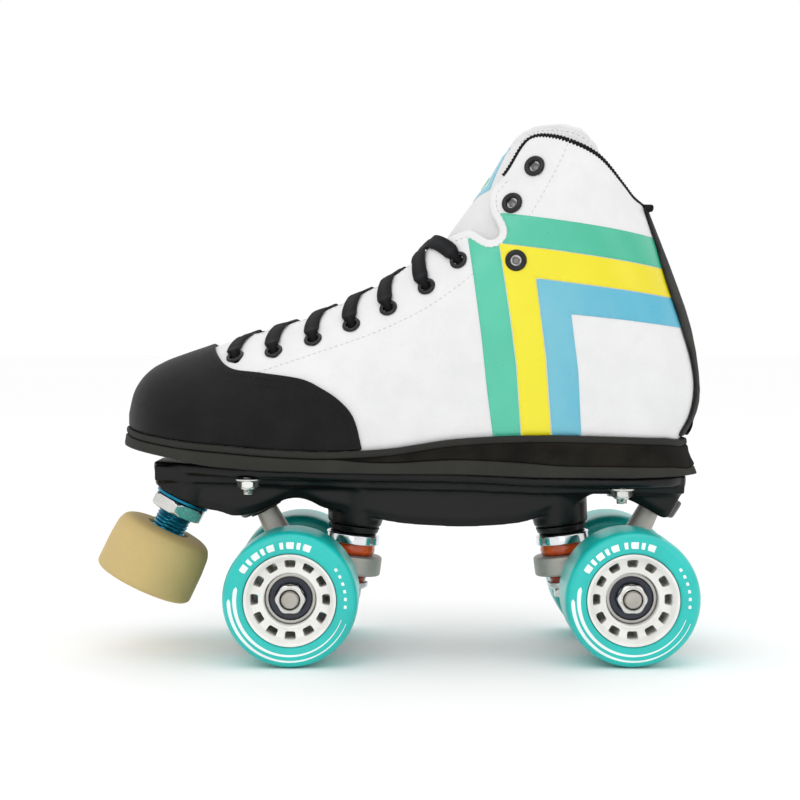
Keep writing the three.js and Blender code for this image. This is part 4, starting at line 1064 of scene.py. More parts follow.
def eyelet_tree():
    """A rolled ring and the barrel behind it on every point."""
    tree = Tree("Eyelets", {"Ring Radius": "Float", "Wire Radius": "Float", "Barrel Depth": "Float",
                            "Material": "Material"})
    circle, wire = (tree.add("GeometryNodeCurvePrimitiveCircle", None,
                             {"Resolution": sides, "Radius": tree.given(label)})
                    for sides, label in ((40, "Ring Radius"), (12, "Wire Radius")))
    ring = tree.add("GeometryNodeCurveToMesh", None,
                    {"Curve": circle.outputs[0], "Profile Curve": wire.outputs[0]})
    flat = tree.add("GeometryNodeTransform", None, {"Geometry": ring.outputs[0], "Scale": (1, 1, 0.75)})
    inside = tree.add("ShaderNodeMath", {"operation": "SUBTRACT"},
                      {0: tree.given("Ring Radius"), 1: tree.given("Wire Radius")})
    barrel = tree.add("GeometryNodeMeshCylinder", {"fill_type": "NONE"},
                      {"Vertices": 32, "Radius": inside.outputs[0], "Depth": tree.given("Barrel Depth")})
    down = tree.add("ShaderNodeMath", {"operation": "MULTIPLY"}, {0: tree.given("Barrel Depth"), 1: -0.5})
    shift = tree.add("ShaderNodeCombineXYZ", None, {"Z": down.outputs[0]})
    sunk = tree.add("GeometryNodeTransform", None, {"Geometry": barrel.outputs[0], "Translation": shift.outputs[0]})
    both = tree.add("GeometryNodeJoinGeometry")
    tree.group.links.new(flat.outputs[0], both.inputs[0])
    tree.group.links.new(sunk.outputs[0], both.inputs[0])
    facing = tree.add("GeometryNodeInputNamedAttribute", {"data_type": "FLOAT_VECTOR"}, {"Name": "facing"})
    turn = tree.add("FunctionNodeAlignRotationToVector", {"axis": "Z"}, {"Vector": facing.outputs[0]})
    spots = tree.add("GeometryNodeMeshToPoints", None, {0: tree.given("Geometry")})
    placed = tree.add("GeometryNodeInstanceOnPoints", None,
                      {"Points": spots.outputs[0], "Instance": both.outputs[0], "Rotation": turn.outputs[0]})
    return tree, placed.outputs["Instances"]


def run_tree(label, build, thing, finish, **sizes):
    """Runs a tree, built at its first use, on a guide; the sizes are in millimetres."""
    if label not in TREES:
        tree, geometry = build()
        tree.finish(geometry)
        TREES[label] = tree
    TREES[label].on(thing, material=FINISH[finish], **{key: size * MM for key, size in sizes.items()})
    return finished(thing, FINISH[finish], 60)


def stitches(name, rows, finish, spacing=2.2, length=1.7, thickness=0.42):
    """Rows of thread; each row is its places and its normals."""
    places, normals = (np.concatenate(part) for part in zip(*rows))
    edges, start = [], 0
    for row, _ in rows:
        edges += [(start + k, start + k + 1) for k in range(len(row) - 1)]
        start += len(row)
    return run_tree("Stitches", stitch_tree, guide(name, places, normals, edges), finish, spacing=spacing,
                    length=length, thickness=thickness)


def eyelets(name, places, normals, finish, ring, wire, depth):
    return run_tree("Eyelets", eyelet_tree, guide(name, places, normals), finish, ring_radius=ring,
                    wire_radius=wire, barrel_depth=depth)


TREES = {}
FINISH = {}


# ---- sizes and colours that may be changed ---------------------------------------------------------

def color_setting(name, description, code):
    return FloatVectorProperty(name=name, description=description, subtype="COLOR", default=linear(code),
                               min=0, max=1)


class SkateColors(PropertyGroup):
    leather: color_setting("Leather", "Colour of the boot's leather", "e0e0e0")
    mint: color_setting("Outer stripe", "Colour of the outer stripe at the heel", "37ae8b")
    yellow: color_setting("Middle stripe", "Colour of the middle stripe at the heel", "e2d200")
    blue: color_setting("Inner stripe", "Colour of the inner stripe at the heel", "4fabc6")
    wheel: color_setting("Wheels", "Colour of the tyres", "10bcb4")
    stop: color_setting("Toe stop", "Colour of the toe stop's rubber", "c8b075")
    stem: color_setting("Stem", "Colour of the toe stop's anodised stem", "0b7fa0")


class SkateSizes(PropertyGroup):
    lace_width: FloatProperty(name="Lace width", description="Width of the flat lace", default=7.2 * MM,
                              unit="LENGTH", min=3 * MM, max=12 * MM)
    stitch_spacing: FloatProperty(name="Stitch spacing", description="Distance from one stitch to the next",
                                  default=2.5 * MM, unit="LENGTH", min=1 * MM, max=6 * MM)
    eyelet_ring: FloatProperty(name="Eyelet ring", description="Radius of an eyelet's ring", default=3.2 * MM,
                               unit="LENGTH", min=2 * MM, max=5 * MM)
    tyre_sides: IntProperty(name="Tyre sides", description="Facets round each tyre", default=128, min=48, max=256)
    tongue_fill: FloatProperty(name="Tongue fill", description="How full the tongue's padding is",
                               default=0.5, subtype="FACTOR", min=0, max=1)


# ---- the boot --------------------------------------------------------------------------------------

class SkateOperator:
    """What the skate's operators share."""
    bl_options = {"REGISTER", "UNDO"}

    def execute(self, context):
        self.build(context.scene.skate_sizes)
        return {"FINISHED"}


def eyelet_holes(radius):
    spots = np.array(LACED_EYELETS + OPEN_EYELETS)

    def field(points):
        away = np.full(len(points), np.inf)
        for x, z in spots:
            away = np.minimum(away, np.hypot(points[:, 0] - x, points[:, 2] - z))
        return away - radius
    return field


class SKATE_OT_upper(SkateOperator, Operator):
    """Build the white leather upper with its lining and its open throat"""
    bl_idname = "skate.upper"
    bl_label = "Upper"

    def build(self, sizes):
        opened = (seen_from_side(COLLAR_CUT, False), seen_from_above(THROAT, False))
        shell = boot_panel(0, *opened, eyelet_holes(3.2))
        fit("upper_shell", slab(shell, LEATHER, 0.45), "white", 50, BOOT, "white_leather", "boot_upper")
        inside = boot_panel(-LEATHER - 0.1, seen_from_side(COLLAR_CUT, False, 0.8),
                            seen_from_above(THROAT, False, 0.8), columns=200, rows=30)
        fit("upper_lining", slab(inside, 1.4, 0.5), "lining", 50, BOOT, "lining")


class SKATE_OT_stripes(SkateOperator, Operator):
    """Build the three bent stripes of coloured film on both sides of the heel"""
    bl_idname = "skate.stripes"
    bl_label = "Stripes"

    def build(self, sizes):
        behind = seen_from_side(BACK_STRIP, False, 0.2)
        rim = seen_from_side(COLLAR_CUT, False, 2.7)
        sheet = boot_panel(0.28, rim, behind, lambda points: points[:, 0] - 24)
        for color, outline in STRIPES.items():
            stripe = keep_where(sheet, seen_from_side(outline))
            for x, z in OPEN_EYELETS[:1]:
                stripe = keep_where(stripe, lambda points: np.hypot(points[:, 0] - x, points[:, 2] - z) - 3.2)
            fit(color + "_stripe", slab(stripe, 0.26, 0.5, rows=1), color, 50, BOOT, "white_leather")


class SKATE_OT_toe_cap(SkateOperator, Operator):
    """Build the black toe cap and the strip up the back of the heel"""
    bl_idname = "skate.toe_cap"
    bl_label = "Toe cap and back strip"

    def build(self, sizes):
        over_sole = lambda points: points[:, 2] - feather(points[:, 0]) - 0.4
        cap = boot_panel(OVERLAY_LIFT + OVERLAY, seen_from_side(TOE_CAP), over_sole)
        fit("toe_cap_leather", slab(cap, OVERLAY, 0.5), "black", 50, BOOT, "black_leather", "toe_cap")
        strip = boot_panel(OVERLAY_LIFT + OVERLAY, seen_from_side(BACK_STRIP),
                           seen_from_side(COLLAR_CUT, False, 0.2), lambda points: points[:, 2] - STRIP_FOOT)
        fit("back_strip_leather", slab(strip, OVERLAY, 0.5), "binding", 50, BOOT, "black_leather", "backstay")


class SKATE_OT_stitching(SkateOperator, Operator):
    """Sew the facings, the collar, the throat and the toe cap"""
    bl_idname = "skate.stitching"
    bl_label = "Stitching"

    def build(self, sizes):
        spacing = sizes.stitch_spacing / MM
        grey = both_sides(rounded_line(FACING_STITCH), 0.05)
        piece = stitches("facing_stitches", grey, "thread", spacing, 0.66 * spacing, 0.34)
        settle(piece, BOOT, "white_leather")
        edge = beside(COLLAR_LINE[2:-2], -2.4)
        chosen = edge[edge[:, 0] < 47.5]
        rows = both_sides(chosen, 0.05)
        piece = stitches("facing_edge_stitches", rows, "thread", spacing, 0.66 * spacing, 0.4)
        settle(piece, BOOT, "white_leather")
        rows = self.throat_rows()
        piece = stitches("throat_stitches", rows, "thread", spacing, 0.66 * spacing, 0.4)
        settle(piece, BOOT, "white_leather")
        black = []
        for inset in (1.9, 4.6):
            line = beside(TOE_CAP_LINE, inset)[3:-2]
            black += both_sides(line, OVERLAY_LIFT + OVERLAY)
        piece = stitches("toe_cap_stitches", black, "black_thread", 2.3, 1.6, 0.5)
        settle(piece, BOOT, "black_leather")

    def throat_rows(self):
        """Stitches beside the throat's edges, 2.4 mm in from them, round its toe end."""
        outline = [(6, 13.5), (-60, 10.4)]
        outline += [(-60 - 10.4 * math.sin(a), 10.4 * math.cos(a)) for a in np.linspace(0, math.pi, 13)]
        outline += [(6, -13.5)]
        line = evenly(outline, 1.5)
        top = spline(TOE_AND_INSTEP, np.linspace(0, 1, 400))
        height = np.interp(line[:, 0], top[:, 0], top[:, 1])
        return [skin(0.05).lay(np.stack([line[:, 0], line[:, 1], height], axis=1))]


class SKATE_OT_eyelets(SkateOperator, Operator):
    """Set the enamelled eyelets along both facings"""
    bl_idname = "skate.eyelets"
    bl_label = "Eyelets"

    def build(self, sizes):
        ring = sizes.eyelet_ring / MM
        for name, spots, radius, wire, lift in (("laced_eyelets", LACED_EYELETS, ring, 0.95, 0.2),
                                                ("open_eyelets", OPEN_EYELETS, 1.12 * ring, 1.2, 0.25)):
            rows = [skin(0.05).lay(Form(0.05).on_side(spots, side), lift) for side in (-1, 1)]
            places, normals = (np.concatenate(part) for part in zip(*rows))
            piece = eyelets(name, places, normals, "enamel", radius, wire, 2.6)
            settle(piece, BOOT, "black_leather")
            discs = [self.disc(place, normal, radius - wire + 0.1) for place, normal in zip(places, normals)]
            # the laced eyelets get a black disc of painted shade in their holes, the open eyelets a metal washer back
            shown = "painted_hole_shade" if name == "laced_eyelets" else "backing"
            fit(name + "_backs", joined(*discs), shown, 40, BOOT, "black_leather")

    def disc(self, place, normal, radius):
        """A dished disc 1.6 mm down inside an eyelet: the washer's metal back in the open eyelets, a black disc of
        painted shade filling the laced eyelets' holes.
        """
        profile = [(0, -0.3), (radius * 0.45, -0.3), (radius * 0.6, 0.1), (radius, 0.15), (radius, -0.5),
                   (0, -0.8)]
        return moved(turned(profile, 24), axis_frame(place - 1.6 * normal, normal))


class SKATE_OT_binding(SkateOperator, Operator):
    """Bind the cuff's edge with ribbed cord, its cut ends frayed"""
    bl_idname = "skate.binding"
    bl_label = "Collar binding"

    def build(self, sizes):
        line = evenly(COLLAR_LINE[2:-1], 0.9)
        start = np.flatnonzero((line[:, 0] > 46) & (line[:, 1] > 214))[0]
        form = Form(-0.9)
        silhouette = spline(form.under, np.linspace(0.75, 1, 200))
        edge = line[start:]
        edge = edge[edge[:, 0] < np.interp(edge[:, 1], silhouette[::-1, 1], silhouette[::-1, 0]) - 0.8]
        near, far = (form.on_side(edge, side) for side in (-1, 1))
        level = np.argmin(np.abs(silhouette[:, 1] - edge[-1, 1]))
        back = np.array([[silhouette[level, 0] - 0.6, 0, edge[-1, 1]]])
        path = evenly(rounded_line(np.concatenate([near[::3], back, far[::-3]]), 0.4), 0.4)
        ribs = 1.12 + 0.18 * np.sin(np.arange(len(path)) * 0.4 * 2 * math.pi / 1.6)
        fit("collar_binding", self.cord(path, ribs), "cord", 60, BOOT, "black_leather")
        tips = [self.fray(path[0], path[2] - path[0]), self.fray(path[-1], path[-3] - path[-1])]
        fit("binding_ends", joined(*tips), "cord", 60, BOOT, "black_leather")

    def cord(self, path, radius):
        tangent = unit(np.gradient(path, axis=0))
        side = unit(np.cross(tangent, (0, 0.2, 1.0)))
        up = np.cross(side, tangent)
        angles = np.arange(10) * 2 * math.pi / 10
        points = (path[:, None] + radius[:, None, None] * (np.cos(angles)[None, :, None] * side[:, None]
                                                          + 1.25 * np.sin(angles)[None, :, None] * up[:, None]))
        faces = grid_faces(len(path), 10, close_columns=True)
        last = 10 * (len(path) - 1)
        return points.reshape(-1, 3), faces + [tuple(range(10)), tuple(reversed(range(last, last + 10)))]

    def fray(self, tip, inward):
        """A few loose threads where the cord is cut."""
        inward = inward / np.linalg.norm(inward)
        threads = []
        for k, (x, z) in enumerate(((-1.2, -2.2), (0.2, -3.0), (1.3, -1.8), (-0.5, -3.4))):
            end = tip - 1.5 * inward + np.array([x, 0.15 * k, z])
            threads.append(rod(tip, end, 0.32, 0.14, 8, 0.05))
        return joined(*threads)


class SKATE_OT_tongue(SkateOperator, Operator):
    """Build the padded tongue, its stitched rim and its chevron"""
    bl_idname = "skate.tongue"
    bl_label = "Tongue"

    OUTLINE = [
        (-66, 165), (-66, 136), (-30, 141), (0, 150), (30, 163), (62, 189), (85, 214), (89.6, 225),
        (87.3, 230), (82.2, 234.6), (74.5, 237.6), (65, 238.8), (57.4, 237.4), (52.4, 233.5), (46, 229.5),
        (30, 229.5),
    ]

    def build(self, sizes):
        outline = np.concatenate([rounded_line(self.OUTLINE[:6], 1.5), rounded_line(self.OUTLINE[6:14], 1.5),
                                  self.OUTLINE[14:]])
        sheet = boot_panel(-5.2, seen_from_side(outline, True, 0.6), columns=150, rows=26)
        piece = make("tongue_pad", slab(sheet, 3.2, 0.6), FINISH["tongue"], 60)
        self.inflate(piece)
        self.sew(piece, outline)
        finished(piece, FINISH["tongue"], 60)
        settle(piece, BOOT, "lining", "tongue")
        self.trim(piece, outline)

    def inflate(self, piece):
        """Fills the pad with cloth under pressure, no point moving more than its share of the room."""
        scene = bpy.context.scene
        remesh = piece.modifiers.new("Remesh", "REMESH")
        remesh.mode = "VOXEL"
        remesh.voxel_size = 1.8 * MM
        baked(piece)
        start = np.array([v.co for v in piece.data.vertices])
        cloth = piece.modifiers.new("Cloth", "CLOTH")
        cloth.settings.use_pressure = True
        cloth.settings.uniform_pressure_force = 4
        cloth.settings.tension_stiffness = cloth.settings.compression_stiffness = 30
        cloth.settings.bending_stiffness = 2
        cloth.settings.effector_weights.gravity = 0
        cloth.point_cache.frame_start, cloth.point_cache.frame_end = 1, 20
        for frame_number in range(1, 21):
            scene.frame_set(frame_number)
        evaluated = piece.evaluated_get(bpy.context.evaluated_depsgraph_get())
        end = np.array([v.co for v in evaluated.data.vertices])
        piece.modifiers.clear()
        scene.frame_set(1)
        step = end - start
        length = np.linalg.norm(step, axis=1)[:, None]
        cap = 0.9 * MM
        place = start + step * np.minimum(1, cap / np.maximum(length, 1e-9))
        piece.data.vertices.foreach_set("co", place.astype(np.float32).ravel())
        smooth_pass = piece.modifiers.new("Soft", "SMOOTH")
        smooth_pass.factor, smooth_pass.iterations = 0.5, 6
        finer = piece.modifiers.new("Finer", "SUBSURF")
        finer.levels = finer.render_levels = 1
        baked(piece)

    def sew(self, piece, outline):
        """Draws the pad in along its stitched rim."""
        mesh = piece.data
        place = np.array([v.co for v in mesh.vertices]) / MM - (SHIFT, 0, 0)
        normals = np.array([v.normal for v in mesh.vertices])
        depth = depth_inside(outline, place[:, [0, 2]])
        pinch = 0.5 * np.exp(-((depth - 2.9) / 0.8) ** 2)
        place -= pinch[:, None] * normals
        mesh.vertices.foreach_set("co", ((place + (SHIFT, 0, 0)) * MM).astype(np.float32).ravel())
        mesh.update()

    def trim(self, piece, outline):
        mesh = piece.data
        points = np.array([v.co for v in mesh.vertices]) / MM - (SHIFT, 0, 0)
        surface = Skin(points, [tuple(face.vertices) for face in mesh.polygons])
        rim = beside(outline[:-1], -2.6)
        if depth_inside(outline, rim[20:21])[0] < 0:
            rim = beside(outline[:-1], 2.6)
        rim = rim[(rim[:, 1] > 222) & (rim[:, 0] > 51)]
        form = Form(-4.4)
        rows = [surface.lay(form.on_side(evenly(rim, 1.5), side), 0.05) for side in (-1, 1)]
        stitched = stitches("tongue_stitches", rows, "thread", 2.5, 1.7, 0.4)
        settle(stitched, BOOT, "lining")
        shield = np.array([(0, 205), (13.5, 209.5), (3.5, 229.5), (-3.5, 229.5), (-13.5, 209.5)])
        inner = (shield - (0, 215)) * (0.66, 0.66) + (0, 215)
        chevron = [(0, 210.5), (5.6, 212.6), (4, 216.4), (0, 214.6), (-4, 216.4), (-5.6, 212.6)]
        front = keep_where(boot_panel(-4.4, columns=330, rows=60), lambda points: 62 - points[:, 0])
        band = keep_where(keep_where(front, seen_from_front(shield)), seen_from_front(inner, False))
        for name, (points, faces) in (("blue", band), ("mint", keep_where(front, seen_from_front(chevron)))):
            places, normals = surface.lay(points[:, :3], 0.22)
            film = np.concatenate([places, normals], axis=1)
            fit("tongue_patch_" + name, slab((film, faces), 0.3, 0.5, rows=1), name, 50, BOOT, "lining")


class SKATE_OT_lace(SkateOperator, Operator):
    """Thread the flat woven lace through the eyelets"""
    bl_idname = "skate.lace"
    bl_label = "Lace"

    def build(self, sizes):
        width = sizes.lace_width / MM
        form = Form(0)
        along = np.linspace(0.1, 0.9, 900)
        up = np.linspace(0.3, 1, 400)
        grid = form.side_view(along[:, None] + 0 * up, up)
        spots = []
        for x, z in LACED_EYELETS:
            miss = np.hypot(grid[..., 0] - x, grid[..., 1] - z)
            i, j = np.unravel_index(np.argmin(miss), miss.shape)
            spots.append((along[i], up[j]))
        sheets, maps, start = [], [], 0
        for k in range(len(spots) - 1):
            last = k == len(spots) - 2
            for side in (-1, 1):
                points, faces, uv = self.run(form, spots[k], spots[k + 1], side, width, last)
                sheets.append((points, faces))
                maps.append(uv + (37.0 * start, 0))
                start += 1
        piece = make("woven_lace", joined(*sheets), FINISH["lace"], 60, uv=np.concatenate(maps))
        settle(piece, BOOT, "lace", "lace")

    def run(self, form, first, second, side, width, last):
        """From one eyelet up over the throat to the next on the other side, where it goes under the
        facing, or at the top into the eyelet from outside."""
        w = np.linspace(-1, 1, 81)
        share = (w + 1) / 2
        along = first[0] + (second[0] - first[0]) * smooth(share, 0.06, 1.0)
        foot = first[1] + (second[1] - first[1]) * share
        place = form.side_view(along, 1 - (1 - foot) * np.abs(w) ** 1.6)
        half = form.half_width(place[:, 0], place[:, 1]) * np.where(w < 0, 1, -1)
        half = np.where(np.abs(w) < 1e-6, 0, half)
        path = np.stack([place[:, 0], last_middle(place[:, 0]) + side * half, place[:, 1]], axis=1)
        on_skin, normals = skin(0).lay(path)
        # inside the throat it hangs between the facings' edges, and at its far edge it goes under
        throat = np.interp(on_skin[:, 0], (-60, 46), (8, 14))
        past_edge = np.abs(on_skin[:, 1]) - throat
        lift = 0.95 - 2.1 * smooth(-past_edge, 0.0, 7.0)
        lift += (0.75 if side < 0 else -0.45) * np.exp(-(w / 0.16) ** 2)
        enter, rim_top = smooth(share, 0.0, 0.055), 0.8 * np.exp(-((share - 0.055) / 0.03) ** 2)
        lift = lift * enter - 1.9 * (1 - enter) + rim_top
        if last:
            lift += 1.1 * np.exp(-((w - (0.15 if side < 0 else -0.15)) / 0.5) ** 2)
            leave = smooth(1 - share, 0.0, 0.055)
            lift = lift * leave - 1.9 * (1 - leave) + rim_top[::-1]
        else:
            under = smooth(past_edge, -3.4, -0.6) * (w > 0)
            lift = lift * (1 - under) - 3.3 * under
        path = on_skin + lift[:, None] * normals
        kernel = np.array([1, 2, 3, 2, 1]) / 9
        for axis in range(3):
            padded = np.pad(path[:, axis], 2, mode="edge")
            path[:, axis] = np.convolve(padded, kernel, mode="valid")
        stop = len(w) if last else int(np.flatnonzero((w > 0) & (past_edge > 3.2))[0])
        path, normals, near = path[:stop], normals[:stop], share[:stop]
        narrow = 0.6 + 0.4 * smooth(near, 0.01, 0.1)
        if last:
            narrow = np.minimum(narrow, narrow[::-1])
        return ribbon(path, normals, width * narrow, 1.25, 12)


class SKATE_OT_sole(SkateOperator, Operator):
    """Build the welt, the heel wedge, the outsole and the insole"""
    bl_idname = "skate.sole"
    bl_label = "Sole"

    def build(self, sizes):
        soft = [(0.0, -0.5), (0.04, 0.1), (0.2, 0.5), (0.5, 0.6), (0.8, 0.5), (0.96, 0.1), (1.0, -0.5)]
        rim = [(share, WELT_MARGIN + m) for share, m in soft]
        self.layer("welt", "midsole", sole_layer(welt_top, welt_under, rim, None, (0.3, 0.6)))
        cut = [(0.0, 0.0), (0.1, 0.35), (0.35, -0.25), (0.65, -0.15), (0.9, 0.45), (1.0, 0.1)]
        rim = [(share, WELT_MARGIN + m) for share, m in cut]
        wedge = sole_layer(lambda x: welt_under(x) - 0.1, wedge_under, rim, WEDGE_START_X + 0.5, (0.8, 4.2))
        self.layer("wedge", "heel_wedge", wedge)
        worn = [(0.0, -0.3), (0.06, 0.3), (0.3, 0.5), (0.7, 0.9), (0.93, 0.8), (1.0, 0.1)]
        rim = [(share, OUTSOLE_MARGIN + m) for share, m in worn]
        self.layer("outsole", "outsole", sole_layer(outsole_top, outsole_under, rim, None, (3.6, 4.4)))
        padded = [(0.0, -9.5), (0.25, -8.3), (0.5, -8.0), (0.8, -8.1), (1.0, -8.8)]
        top = lambda x: feather(x) + 9.9 + 0.8 * smooth(x, 60, 110)
        self.layer("lining", "insole", sole_layer(top, lambda x: feather(x) + 6.9, padded))

    def layer(self, finish, node, sheet):
        fit(node + "_layer", sheet, finish, 50, BOOT, finish, node)


# ---- plate, bolts and toe stop ---------------------------------------------------------------------

PIVOT_TIP, PIVOT_ARM_BASE = (-16, 38.5), (0, 7.5)
KINGPIN_TOP, KINGPIN_TILT = (26.5, 27.5), 7.5
KINGPIN_RADIUS = 4.75
STOP_FACE, STOP_TILT = (-106.9, 54), 25.8
STOP_PLATE_DISTANCE = 17.2
BOLT_SETS = {"front": (-68, 22.5), "rear": (99.5, 20)}
FLANGE_HALF = [
    (-112, 13), (-106, 18), (-88, 25), (-72, 30), (-55, 30), (-30, 25), (0, 19), (40, 19), (75, 24),
    (95, 27), (112, 27), (124, 21), (129.5, 12),
]
KEEL_EDGE = [
    (129.3, 75), (122.4, 62.1), (118.8, 61), (110.4, 65.8), (102.3, 69.5), (92.1, 72.4),
    (86.5, 71.3), (80, 68), (60, 60), (46.1, 57.6), (27.7, 56.8), (9.4, 57.6), (-3.6, 59), (-28, 64),
    (-34.7, 65.4), (-41.2, 68.6), (-46.7, 69.8), (-52.3, 69.1), (-55.9, 67.2), (-66, 63.1),
    (-75.2, 61.7), (-81.6, 63.6), (-90.6, 65.8), (-107.9, 74), (-111.2, 79),
]


def plate_top(x):
    nose = np.interp(x, (-112, -72), (86.5, 84.9))
    return np.minimum(outsole_under(x) - 0.3, np.where(np.asarray(x) < -72, nose, 1000))


def leaning(foot, tilt, distance=0.0):
    """A point on an axis that leans by the tilt in the side view, and the axis's direction."""
    direction = np.array([math.sin(math.radians(tilt)), 0, math.cos(math.radians(tilt))])
    return np.array([foot[0], 0, foot[1]]) + distance * direction, direction


def leaning_rod(foot, tilt, low, high, radius, end_radius=None, **options):
    return rod(leaning(foot, tilt, low)[0], leaning(foot, tilt, high)[0], radius, end_radius, **options)


def leaning_turn(foot, tilt, profile, sides=64):
    place, direction = leaning(foot, tilt)
    return moved(turned(profile, sides), axis_frame(place, direction))


def truck_point(end, point):
    """A point of a truck's own side view in the drawing."""
    return (AXLE_X[end] - SHIFT + FACING[end] * point[0], AXLE_Z + point[1])


ARM_TILT = math.degrees(math.atan2(PIVOT_TIP[0] - PIVOT_ARM_BASE[0], PIVOT_TIP[1] - PIVOT_ARM_BASE[1]))


def extruded(outline, half):
    """A side-view outline carried across."""
    outline = np.asarray(outline, float)
    count = len(outline)
    near = np.stack([outline[:, 0], np.full(count, -float(half)), outline[:, 1]], axis=1)
    far = near * (1, -1, 1)
    faces = grid_faces(2, count, close_columns=True) + [tuple(range(count))]
    faces.append(tuple(reversed(range(count, 2 * count))))
    return np.concatenate([near, far]), faces


def threaded(start, end, radius, pitch, depth, sides=40):
    """A screw thread between two points, its ends tapered to the core."""
    start, end = np.array(start, float), np.array(end, float)
    length = float(np.linalg.norm(end - start))
    heights = np.linspace(0, length, max(8, int(6 * length / pitch)))
    angles = np.arange(sides) * 2 * math.pi / sides
    phase = (heights[:, None] / pitch - angles[None] / (2 * math.pi)) % 1
    cut = depth * np.abs(2 * phase - 1)
    edge = np.minimum(heights, length - heights)[:, None]
    radii = radius - np.maximum(cut, depth * (1 - smooth(edge, 0, pitch)))
    points = np.stack([radii * np.cos(angles), radii * np.sin(angles), heights[:, None] + 0 * radii], axis=-1)
    faces = grid_faces(len(heights), sides, close_columns=True)
    last = sides * (len(heights) - 1)
    faces += [tuple(reversed(range(sides))), tuple(range(last, last + sides))]
    return moved((points.reshape(-1, 3), faces), axis_frame(start, end - start))


def hexagon_nut(flats, bore, low, high, chamfer=0.5, collar=0.0, collar_radius=0.0):
    """A nut about +z with chamfered corners; a collar is the plain ring of a locking nut on its top."""
    sides = 72
    angles = np.arange(sides) * 2 * math.pi / sides
    hexagon = flats / 2 / np.cos((angles % (math.pi / 3)) - math.pi / 6)
    corner = flats / 2 / math.cos(math.pi / 6)
    rows = []
    steps = np.linspace(0, 1, 5)
    for share in steps:
        rows.append((np.minimum(hexagon, flats / 2 * 0.96 + (corner - flats / 2 * 0.96) * math.sqrt(share)),
                     low + chamfer * share))
    for share in steps[::-1]:
        rows.append((np.minimum(hexagon, flats / 2 * 0.96 + (corner - flats / 2 * 0.96) * math.sqrt(share)),
                     high - chamfer * share))
    if collar:
        rows.append((np.full(sides, collar_radius), high))
        rows.append((np.full(sides, collar_radius), high + collar * 0.7))
        rows.append((np.full(sides, collar_radius - 0.5), high + collar))
    top = high + collar
    rows.append((np.full(sides, bore / 2 + 0.35), top))
    for height, radius in ((top - 0.35, bore / 2), (low + 0.35, bore / 2), (low, bore / 2 + 0.35)):
        rows.append((np.full(sides, radius), height))
    points = np.concatenate([np.stack([r * np.cos(angles), r * np.sin(angles), np.full(sides, h)], axis=1)
                             for r, h in rows])
    return points, grid_faces(len(rows), sides, True, True)


class SKATE_OT_plate(SkateOperator, Operator):
    """Mould the black nylon plate with its flange, keel and bosses"""
    bl_idname = "skate.plate"
    bl_label = "Plate"

    def build(self, sizes):
        xs = stations(-112, 129.5, 90)
        half = soft_interp(FLANGE_HALF, xs, 3.0)
        top = plate_top(xs)
        rings = []
        for share, inset in ((0, 0.7), (0.12, 0.0), (0.75, 0.0), (1, 1.0)):
            height = top - 4.8 * share
            near = np.stack([xs, last_middle(xs) - half + inset, height], axis=1)
            rings.append(np.concatenate([near, (near * (1, -1, 1) + np.stack(
                [0 * xs, 2 * last_middle(xs), 0 * xs], axis=1))[::-1]]))
        wide = 2 * len(xs)
        faces = grid_faces(len(rings), wide, close_columns=True)
        for base in (0, (len(rings) - 1) * wide):
            faces += strip_faces(base, wide)
        flange = (np.concatenate(rings), faces)
        edge = rounded_line(KEEL_EDGE, 2.0)
        line = stations(-110.8, 128.6, 80)
        upper = np.stack([line, plate_top(line) - 1.2], axis=1)
        keel = extruded(np.concatenate([upper, edge]), 12.2)
        inner = np.stack([edge[:, 0], np.minimum(edge[:, 1] + 3.0, plate_top(edge[:, 0]) - 2)], axis=1)
        shoulder = extruded(np.concatenate([upper, inner]), 13.0)
        lower = np.stack([line[::-1], plate_top(line[::-1]) - 8.5], axis=1)
        rib = extruded(np.concatenate([upper, lower]), 15.5)
        sheets = [flange, keel, shoulder, rib]
        cutters = [leaning_rod(STOP_FACE, STOP_TILT, 0, 60, 8.25)]
        for end in ENDS:
            kingpin, pivot = truck_point(end, KINGPIN_TOP), truck_point(end, PIVOT_TIP)
            lean, arm = FACING[end] * KINGPIN_TILT, FACING[end] * ARM_TILT
            sheets.append(leaning_rod(kingpin, lean, 0, 20, 12.3, 14.2, edge=1.0))
            sheets.append(leaning_rod(pivot, arm, -4, 5, 11.6, 12.4, edge=1.2))
            cutters.append(leaning_rod(kingpin, lean, -4, 16.3, KINGPIN_RADIUS + 0.3))
            cutters.append(leaning_rod(pivot, arm, -20, 7.1, 7.8))
            x, spread = BOLT_SETS[end]
            for y in (-spread, spread):
                cutters.append(rod((x, y, 60), (x, y, 100), 2.8, sides=20))
        sheets.append(leaning_rod(STOP_FACE, STOP_TILT, STOP_PLATE_DISTANCE + 0.1, STOP_PLATE_DISTANCE + 9, 14.8,
                                  edge=0.8))
        piece = moulded("nylon_plate", sheets, FINISH["nylon"], 0.85, 6, cutters)
        settle(piece, BOOT, "nylon", "plate")


